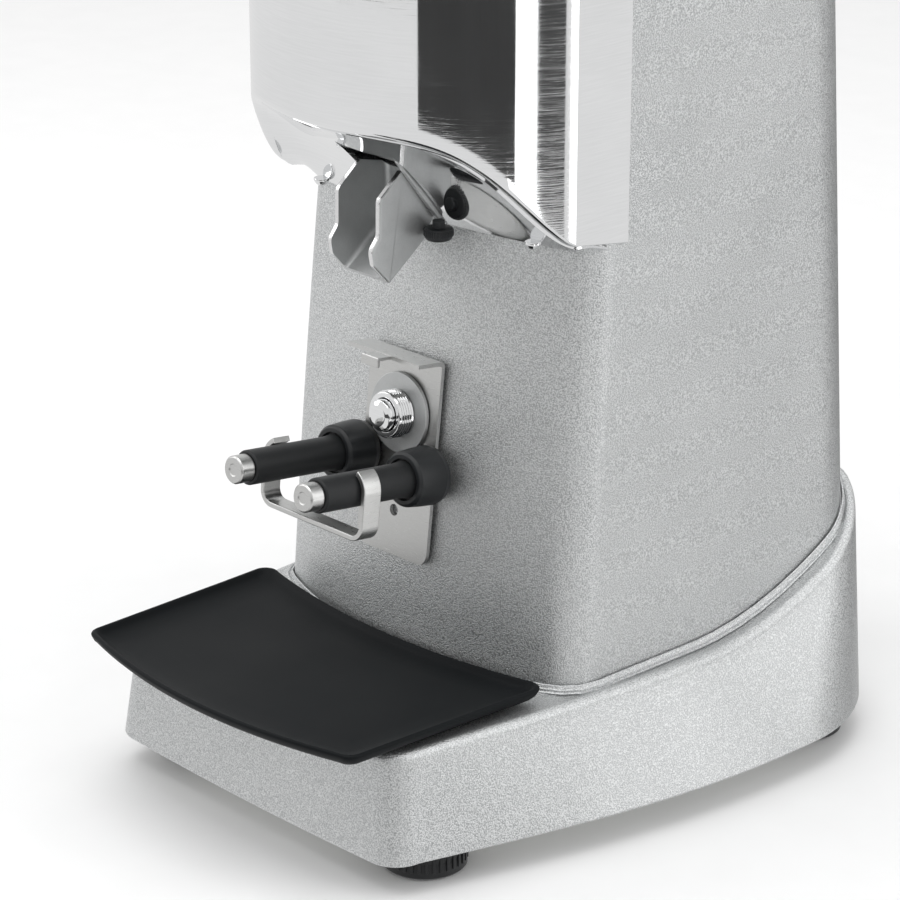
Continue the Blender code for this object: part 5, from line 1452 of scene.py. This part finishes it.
def make_collar():
    low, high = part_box("adjusting_collar")
    radius = (high.x - low.x) / 2
    centre = Matrix.Translation((0, AXIS_Y, 0))
    profile = [
        (radius - 8 * MM, high.z, 0.8 * MM),
        (radius, high.z - 3.2 * MM, 1.2 * MM),
        (radius, low.z + 1 * MM, 0.4 * MM),
        (radius - 1 * MM, low.z, 0.4 * MM),
        (40.5 * MM, low.z, 0.4 * MM),
        (40.5 * MM, high.z, 0.5 * MM),
    ]
    body = turned("collar", soften(profile, 0.5 * MM, 5), centre, 144)
    over, under = high.z + 5 * MM, low.z + 4 * MM
    pillar = [(0.0, over), (7 * MM, over), (7 * MM, under), (0.0, under)]
    notch = turned("notch", pillar, Matrix(), 32)
    notches = ring_of(notch, 12, radius + 4 * MM, FINISHES["black_plastic"], centre, math.pi / 12)
    body = bevelled(carved(body, [notches]), 0.4 * MM, 2, 50)
    piece("adjusting_collar_ring", body, "black_plastic", "collar", ["adjusting_collar"], 30)
    tick = block((5.5 * MM, 0.55 * MM, 0.5 * MM), (0, 0, 0), None, 0.1 * MM)
    tick.transform(Matrix.Rotation(math.atan2(3.2, 8.0), 4, "Y"))
    lift = Matrix.Translation((0, AXIS_Y, high.z - 1.42 * MM))
    marks = ring_of(tick, 48, radius - 4.1 * MM, MARKS, lift)
    marks.materials.clear()
    marks.materials.append(MARKS)
    piece("collar_scale", marks, "brushed_steel", "collar")
    pointer = [(-3 * MM, -3.4 * MM), (3 * MM, -3.4 * MM), (0.6 * MM, 4 * MM), (-0.6 * MM, 4 * MM)]
    place = Matrix.Translation((0, AXIS_Y - radius - 6.5 * MM, DECK_TOP_Z))
    mesh = plate("pointer", soften(pointer, 0.5 * MM, 3), 0.0, 1.2 * MM, 0.3 * MM, place)
    piece("collar_pointer", mesh, "brushed_steel", "machine")


def make_hopper():
    centre = Matrix.Translation((0, AXIS_Y, 0))
    low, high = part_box("hopper_base")
    collar_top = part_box("adjusting_collar")[1].z
    seat = collar_top + 0.5 * MM
    radius = (high.x - low.x) / 2
    neck = 30.5 * MM
    bore = 27.5 * MM
    profile = [
        (radius - 4 * MM, high.z, 1 * MM),
        (radius - 1.5 * MM, high.z - 3 * MM, 1.5 * MM),
        (radius, seat + 4 * MM, 2 * MM),
        (radius, seat, 0.8 * MM),
        (neck + 1 * MM, seat, 0.4 * MM),
        (neck, seat - 1.5 * MM, 0.4 * MM),
        (neck, low.z, 0.6 * MM),
        (bore, low.z, 0.6 * MM),
        (bore, high.z, 0.6 * MM),
    ]
    base = turned("hopper base", soften(profile, 0.5 * MM, 4), centre, 96)
    gate_low, gate_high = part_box("hopper_gate")
    gate_z = seat + 14.5 * MM
    wide = gate_high.x - gate_low.x + 1 * MM
    back = gate_high.y + 2 * MM
    front = AXIS_Y - radius - 5 * MM
    slot = block((wide, back - front, 3.4 * MM), (0, (back + front) / 2, gate_z))
    base = bevelled(carved(base, [slot]), 0.2 * MM, 2, 50)
    piece("hopper_base_moulding", base, "black_plastic", "hopper", ["hopper_base"], 30)

    half = gate_high.x
    outline = [(-half, gate_low.y), (half, gate_low.y)]
    outline += [(half, gate_high.y, 12 * MM), (-half, gate_high.y, 12 * MM)]
    outline = soften(outline, 0.5 * MM, 8)
    blade = plate("blade", outline, gate_z - 1.2 * MM, gate_z + 1.2 * MM, 0.4 * MM)
    pull_z = (gate_low.z + gate_high.z) / 2
    pull = block((2 * half, 4 * MM, gate_high.z - gate_low.z), (0, gate_low.y + 2 * MM, pull_z), None, 1 * MM)
    rib = block((1.2 * MM, 0.9 * MM, 6 * MM), (0, 0, 0), None, 0.3 * MM)
    places = [Matrix.Translation((x * MM, gate_low.y + 0.4 * MM, pull_z)) for x in range(-20, 21, 4)]
    ribs = copies_at(rib, places, FINISHES["black_plastic"])
    gate = carved(blade, [pull], "UNION")
    piece("hopper_gate_slide", joined("gate", [gate, ribs]), "black_plastic", "gate", ["hopper_gate"], 30)

    low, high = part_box("hopper_shell")
    wide = (high.x - low.x) / 2
    wall = 2.4 * MM
    slope = [
        (bore + 3 * MM, low.z, 0.0),
        (bore + 8 * MM, low.z + 12 * MM, 12 * MM),
        (wide - 14 * MM, low.z + 66 * MM, 40 * MM),
        (wide - 3 * MM, low.z + 86 * MM, 30 * MM),
        (wide, low.z + 104 * MM, 30 * MM),
        (wide, high.z - 3 * MM, 0.5 * MM),
        (wide, high.z, 0.0),
    ]
    outer = soften(slope, 1 * MM, 8, shut=False)
    inner = [(r - wall, z) for r, z in outer]
    profile = list(reversed(outer)) + inner
    shell = turned("hopper", profile, centre, 128)
    piece("hopper_shell_clear", shell, "clear_hopper", "hopper", ["hopper_shell"], 50, weighted=False)
    make_lid(centre, wide, wall)


def make_lid(centre, wide, wall):
    low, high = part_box("hopper_lid")
    lid = high.z - 9 * MM
    plug = wide - wall - 0.8 * MM
    profile = [
        (0.0, high.z - 2.2 * MM),
        (wide - 30 * MM, high.z - 2.2 * MM, 3 * MM),
        (wide - 24 * MM, high.z - 1.4 * MM, 3 * MM),
        (wide - 18 * MM, high.z - 0.2 * MM, 3 * MM),
        (wide - 7 * MM, high.z - 0.2 * MM, 3 * MM),
        (wide, high.z - 4 * MM, 2.5 * MM),
        (wide, lid, 0.6 * MM),
        (plug, lid, 0.3 * MM),
        (plug, low.z, 0.6 * MM),
        (plug - 2 * MM, low.z, 0.6 * MM),
        (plug - 2 * MM, lid + 1.5 * MM, 1 * MM),
        (0.0, lid + 1.5 * MM),
    ]
    cap = turned("lid", soften(profile, 0.6 * MM, 5, shut=False), centre, 128)
    rib = block((3 * MM, 1.4 * MM, 4.2 * MM), (-0.9 * MM, 0, lid + 2.6 * MM), None, 0.5 * MM)
    ribs = ring_of(rib, 72, wide - 0.8 * MM, FINISHES["black_plastic"], centre)
    piece("hopper_lid_cap", joined("lid", [cap, ribs]), "black_plastic", "lid", ["hopper_lid"], 30)


# ========================================================================= control panel
def panel_place():
    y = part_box("control_pod")[0].y
    z = DECK_TOP_Z + GAP
    run = 38 * MM
    rise = 20 * MM
    middle = Vector((0, y + run / 2, z + 18 * MM))
    return Matrix.Translation(middle) @ Matrix.Rotation(math.atan2(rise, run), 4, "X")


def make_panel():
    low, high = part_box("control_pod")
    y, z = low.y, DECK_TOP_Z + GAP
    back = high.y
    outline = [
        (y, z, 0.3 * MM),
        (y, z + 8 * MM, 2.5 * MM),
        (back - 6 * MM, z + 28 * MM, 3 * MM),
        (back, z + 28 * MM, 2.5 * MM),
        (back, z, 0.3 * MM),
    ]
    outline = list(reversed(soften(outline, 1 * MM, 6)))
    pod = plate("pod", outline, -high.x, high.x, 1.8 * MM, SIDE_ON, 5)
    face = panel_place()
    cutters = [block((52.6 * MM, 15.6 * MM, 2.4 * MM), (0, 9.5 * MM, 0), face, 0.8 * MM)]
    for x in (-24 * MM, 0.0, 24 * MM):
        hole = [(0.0, 3 * MM), (7.4 * MM, 3 * MM), (6.35 * MM, -0.6 * MM)]
        hole += [(6.35 * MM, -6 * MM), (0.0, -6 * MM)]
        cutters.append(turned("way", hole, face @ Matrix.Translation((x, -9.5 * MM, 0)), 48))
    pod = bevelled(carved(pod, cutters), 0.25 * MM, 2, 50)
    piece("control_pod_moulding", pod, "black_plastic", "machine", ["control_pod"], 30)
    pane = block((52 * MM, 15 * MM, 1.6 * MM), (0, 9.5 * MM, -0.1 * MM), face, 0.7 * MM)
    piece("display_pane_glass", pane, "display_glass", "machine", ["display_pane"], 30)
    dots_on = {"single": [(0, 0)], "double": [(-1.1, 0), (1.1, 0)], "menu": [(0, -1.7), (0, 0), (0, 1.7)]}
    for index, (word, spots) in enumerate(dots_on.items()):
        body = word + "_button"
        way = face @ Matrix.Translation(((index - 1) * 24 * MM, -9.5 * MM, 0))
        head = 2.1 * MM
        profile = knob_profile(
            (0.0, head - 0.35 * MM),
            (4.4 * MM, head - 0.1 * MM, 1 * MM),
            (5.2 * MM, head, 0.4 * MM),
            (6 * MM, head - 0.8 * MM, 0.5 * MM),
            (6 * MM, -3.4 * MM),
            (0.0, -3.4 * MM),
            edge=0.3 * MM,
        )
        cap = turned("cap", profile, way, 56)
        node = "dose_button_" + word
        piece(node + "_cap", cap, "brushed_steel", body, [node])
        lens = [(0.0, 0.25 * MM), (0.45 * MM, 0.15 * MM), (0.55 * MM, -0.2 * MM), (0.0, -0.2 * MM)]
        dot = turned("dot", lens, Matrix(), 14)
        places = [way @ Matrix.Translation((x * MM, y * MM, head - 0.3 * MM)) for x, y in spots]
        dots = copies_at(dot, places, MARKS)
        dots.materials.clear()
        dots.materials.append(MARKS)
        piece(node + "_dots", dots, "brushed_steel", body)


# ========================================================================= electric parts
def make_power_switch():
    low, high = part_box("power_switch_frame")
    middle = (low + high) / 2
    wall_x = low.x + 2.4 * MM
    place = Matrix.Translation((wall_x, middle.y, middle.z)) @ Matrix.Rotation(-math.pi / 2, 4, "Y")
    half_y = (high.y - low.y) / 2
    half_z = (high.z - low.z) / 2
    outline = [(-half_z, -half_y), (half_z, -half_y), (half_z, half_y), (-half_z, half_y)]
    outline = soften(outline, 2.2 * MM, 6)
    flange = plate("flange", outline, 0.0, 2.4 * MM, 0.8 * MM, place)
    depth = high.x - wall_x + 1 * MM
    centre_x = (wall_x + high.x - 1 * MM) / 2
    body = block((depth, 19.6 * MM, 27.6 * MM), (centre_x, middle.y, middle.z), None, 0.4 * MM)
    pocket_x = -79.4 * MM
    pivot_x = pocket_x + 2 * MM
    pocket = block((16 * MM, 15 * MM, 22 * MM), (pocket_x, middle.y, middle.z), None, 0.8 * MM)
    body = carved(carved(flange, [body], "UNION"), [pocket])
    piece("power_switch_bezel", body, "black_plastic", "machine", ["power_switch_frame"], 30)
    axle = Matrix.Translation((pivot_x, middle.y, middle.z)) @ Matrix.Rotation(math.pi, 4, "Z")
    axle = axle @ Matrix.Rotation(-math.pi / 2, 4, "X") @ Matrix.Rotation(math.radians(10), 4, "Z")
    shape = [(-3.2, -8.6), (1.2, -8.6), (4.6, -8.6), (3.3, -4.0)]
    shape += [(2.9, 0.0), (3.3, 4.0), (4.6, 8.6), (-3.2, 8.6)]
    outline = soften([(x * MM, y * MM, 0.8 * MM) for x, y in shape], 0.8 * MM, 5)
    rocker = plate("rocker", outline, -7 * MM, 7 * MM, 0.6 * MM, axle)
    piece("power_rocker_cap", rocker, "black_plastic", "rocker", ["power_rocker"], 30)
    bar = block((0.4 * MM, 4 * MM, 0.9 * MM), (4.0 * MM, -5.8 * MM, 0), axle, 0.15 * MM)
    lean = Matrix.Rotation(math.pi / 2 - 0.28, 4, "Y")
    spot = axle @ Matrix.Translation((4.0 * MM, 5.8 * MM, 0)) @ lean
    ring = turned("ring", ring_profile(2.0 * MM, 1.3 * MM, -0.2 * MM, 0.2 * MM, 0.1 * MM), spot, 32)
    marks = joined("marks", [bar, ring])
    marks.materials.append(MARKS)
    piece("power_rocker_marks", marks, "black_plastic", "rocker")


def make_gland():
    low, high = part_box("cord_gland")
    middle = (low + high) / 2
    y = COLUMN_REAR_Y - REAR_TAPER * 62 * MM
    way = Matrix.Translation((middle.x, y, middle.z)) @ Matrix.Rotation(-math.pi / 2, 4, "X")
    profile = [
        (5.2 * MM, 9 * MM, 0.8 * MM),
        (6.4 * MM, 8.2 * MM, 1 * MM),
        (7.4 * MM, 5.2 * MM, 1 * MM),
        (8.2 * MM, 4.6 * MM, 0.3 * MM),
        (8.2 * MM, 0.9 * MM, 0.2 * MM),
        (6.8 * MM, 0.9 * MM, 0.0),
        (6.8 * MM, -9 * MM, 0.3 * MM),
        (4 * MM, -9 * MM, 0.3 * MM),
        (4 * MM, 9 * MM, 0.3 * MM),
    ]
    body = turned("gland", soften(profile, 0.3 * MM, 4), way, 48)
    hexagon = hexagon_of(9.4 * MM)
    nut = plate("nut", soften(hexagon, 0.6 * MM, 3), 0.9 * MM, 4.4 * MM, 0.4 * MM, way)
    bore = turned("bore", [(0.0, 20 * MM), (6 * MM, 20 * MM), (6 * MM, -20 * MM), (0.0, -20 * MM)], way, 40)
    body = joined("gland", [body, carved(nut, [bore])])
    rib = block((1.0 * MM, 0.8 * MM, 2.6 * MM), (0, 0, 6.4 * MM), None, 0.25 * MM)
    ribs = ring_of(rib, 16, 6.7 * MM, FINISHES["black_plastic"], way)
    piece("cord_gland_body", joined("gland", [body, ribs]), "black_plastic", "machine", ["cord_gland"], 30)


# ============================================================================ burr set
def make_burr(node, body, up):
    """A flat ring burr with breaker teeth inside and fine teeth at its edge."""
    low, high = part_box(node)
    radius = (high.x - low.x) / 2
    thick = high.z - low.z
    place = Matrix.Translation((0, AXIS_Y, low.z if up else high.z))
    if not up:
        place = place @ Matrix.Rotation(math.pi, 4, "X")
    bore = 18.5 * MM
    profile = [
        (radius, thick - 0.9 * MM, 0.2 * MM),
        (radius, 0.0, 0.4 * MM),
        (bore, 0.0, 0.4 * MM),
        (bore, thick - 4.2 * MM, 0.3 * MM),
        (bore + 8 * MM, thick - 0.9 * MM, 1 * MM),
    ]
    blank = turned("burr", soften(profile, 0.3 * MM, 3), Matrix(), 96)
    edge = [(-3.3 * MM, -0.55 * MM), (3.3 * MM, -0.75 * MM), (3.3 * MM, 0.75 * MM), (-3.3 * MM, 0.4 * MM)]
    askew = Matrix.Rotation(math.radians(22), 4, "Z")
    fine = plate("tooth", edge, thick - 1.6 * MM, thick, 0.15 * MM, askew, 1)
    wedge = [(-4.4 * MM, -0.6 * MM), (4.4 * MM, -1.2 * MM), (4.4 * MM, 0.9 * MM), (-4.4 * MM, 0.4 * MM)]
    slope = Matrix.Rotation(math.radians(30), 4, "Z") @ Matrix.Rotation(math.radians(-22), 4, "Y")
    slope = Matrix.Translation((0, 0, thick - 2.6 * MM)) @ slope
    breaker = plate("breaker", wedge, -1.2 * MM, 1.3 * MM, 0.2 * MM, slope, 1)
    steel = FINISHES["brushed_steel"]
    outer_teeth = ring_of(fine, 54, radius - 3.7 * MM, steel, Matrix())
    inner_teeth = ring_of(breaker, 14, bore + 4.4 * MM, steel, Matrix())
    mesh = joined(node, [blank, outer_teeth, inner_teeth])
    mesh.transform(place)
    piece(node + "_toothed", mesh, "brushed_steel", body, [node], 25, weighted=False)


# ===================================================================== stage and camera
CAMERA_SPOT = Vector((0.8153, -0.7767, 0.5387))
CARD_DISTANCE = 2.0


def make_stage():
    rows = [[(-9, -9, 0), (9, -9, 0)], [(-9, 9, 0), (9, 9, 0)]]
    mesh = woven("floor", rows, around=False)
    mesh.materials.append(floor_paper())
    floor = placed("floor", mesh)
    floor.visible_glossy = False
    mirrored_card("dark_card_front", 31, 53.5, 0.035, 5.5 * MM)
    mirrored_card("dark_card_corner", 58.5, 73, 0.06, 0.5 * MM)
    tent_card("grey_card_front", -28, 50, -0.12, 0.3, 0.05)
    tent_card("grey_card_rear", 140, 215, -0.7, 0.1, 0.12)
    tent_card("white_card_corner", 57, 73, -0.6, -0.02, 1.0, 1.05)
    tent_card("white_card_side", 112, 129, -0.6, 0.1, 1.0, 1.35)


def seen_in_cover(turn, z):
    """Where the camera's line of sight meets the ring of cards once the cover has turned it back.

    The place on the cover is given by the bearing that its surface faces and its height.
    """
    half = bowed_front(COVER_HALF, COVER_FRONT_Y, COVER_BOW, COVER_CORNER, 1, 1)
    corner_x = COVER_HALF - COVER_CORNER
    corner_y = half[-1][1]
    meet = math.asin(corner_x / (COVER_BOW - COVER_CORNER))
    out = Vector((math.sin(turn), -math.cos(turn), 0))
    if turn < meet:
        spot = Vector((0, COVER_FRONT_Y + COVER_BOW, z)) + out * COVER_BOW
    else:
        spot = Vector((corner_x, corner_y, z)) + out * COVER_CORNER
    sight = (spot - CAMERA_SPOT).normalized()
    away = sight - 2 * sight.dot(out) * out
    flat = Vector((away.x, away.y))
    start = Vector((spot.x, spot.y))
    along = start.dot(flat) / flat.length_squared
    reach = -along + math.sqrt(along**2 + (CARD_DISTANCE**2 - start.length_squared) / flat.length_squared)
    return spot + away * reach, spot


def mirrored_card(name, first, last, shade, corner):
    """A card whose image in the cover ends just above the rim, with a rounded lower corner."""
    rows = []
    count = 24
    for level in range(9):
        row = []
        for step in range(count + 1):
            turn = math.radians(first + (last - first) * (step / count) ** 1.5)
            spot = seen_in_cover(turn, TOP_Z)[1]
            start = seen_in_cover(math.radians(first), TOP_Z)[1]
            run = (Vector((spot.x, spot.y)) - Vector((start.x, start.y))).length
            low = rim_z(spot.y) + rim_radius(spot.y) * 0.9
            if run < corner:
                low += corner - math.sqrt(corner**2 - (corner - run) ** 2)
            high = TOP_Z + 60 * MM
            row.append(tuple(seen_in_cover(turn, low + (high - low) * level / 8)[0]))
        rows.append(row)
    hang(name, rows, shade)


def tent_card(name, first, last, low, high, shade, glow=0.0):
    """A curved card round the machine. Bearings run from the front to the right. Glow makes it shine."""
    distance = CARD_DISTANCE + (0.2 if glow else 0.1)
    rows = []
    for z in (low, high):
        row = []
        for step in range(25):
            bearing = math.radians(first + (last - first) * step / 24)
            row.append((distance * math.sin(bearing), -distance * math.cos(bearing), z))
        rows.append(row)
    hang(name, rows, shade, glow)


def hang(name, rows, shade, glow=0.0):
    """Set up a card that only mirror-like surfaces see."""
    mesh = woven(name, rows, around=False)
    paint = Finish(name.replace("_", " "), (shade, shade, shade), 0.7)
    light = (shade * 1.25,) * 3
    dark = (shade * 0.8,) * 3
    paint.colour(paint.tint(paint.grain(300 * MM, 2.0), dark, light))
    if glow:
        paint.shader.inputs["Emission Color"].default_value = (1.0, 1.0, 1.0, 1.0)
        paint.shader.inputs["Emission Strength"].default_value = glow
    mesh.materials.append(paint.material)
    card = placed(name, mesh)
    card.visible_camera = False
    card.visible_diffuse = False
    card.visible_shadow = False
    card.visible_transmission = False


def lamp(name, size, power, bearing, height, away, target):
    """A soft square lamp aimed at a point."""
    data = bpy.data.lights.new(name, "AREA")
    data.shape = "RECTANGLE"
    data.size, data.size_y = size
    data.energy = power
    obj = placed(name, data)
    angle = math.radians(bearing)
    spot = Vector((away * math.sin(angle), -away * math.cos(angle), height))
    obj.location = spot
    obj.rotation_euler = (spot - Vector(target)).to_track_quat("Z", "Y").to_euler()


def make_light():
    world = bpy.data.worlds.new("studio")
    world.use_nodes = True
    background = world.node_tree.nodes["Background"]
    background.inputs["Color"].default_value = (1.0, 1.0, 1.0, 1.0)
    background.inputs["Strength"].default_value = 0.78
    bpy.context.scene.world = world
    lamp("overhead lamp", (1.6, 1.6), 16, 0, 1.9, 0.3, (0, 0, 0.2))
    lamp("right lamp", (0.9, 1.4), 5, 118, 0.9, 1.5, (0, 0, 0.2))
    lamp("left lamp", (0.6, 1.2), 4, -60, 0.9, 1.5, (0, 0, 0.2))
    bpy.context.scene.view_settings.view_transform = "Standard"


def make_camera():
    data = bpy.data.cameras.new("camera")
    data.lens = 128
    data.sensor_width = 36
    data.clip_start = 0.05
    data.clip_end = 60
    camera = placed("camera", data)
    camera.location = CAMERA_SPOT
    camera.rotation_euler = Euler((math.radians(90 - 20.5), 0, math.radians(47)))
    bpy.context.scene.camera = camera


# ======================================================================== put together
def coat_cad_nodes():
    """Give every CAD node that still shows the finish of its slot."""
    slots = {entry["node"]: entry["material_slot"] for entry in frame["record"]["subparts"]}
    for name, obj in frame["nodes"].items():
        finish = FINISHES[slots[name]]
        if not obj.material_slots:
            obj.data.materials.append(finish)
        for entry in obj.material_slots:
            entry.material = finish


coat_cad_nodes()
for make in (
    make_base, make_feet, make_column, make_cover, make_chin, make_chin_screws, make_spout, make_saddle,
    make_spout_knob, make_tray, make_hook_plate, make_fork, make_brace, make_switch, make_top, make_collar,
    make_hopper, make_panel, make_power_switch, make_gland,
):
    make()
make_burr("lower_burr", "burr_shaft", True)
make_burr("upper_burr", "upper_carrier", False)
make_stage()
make_light()
make_camera()
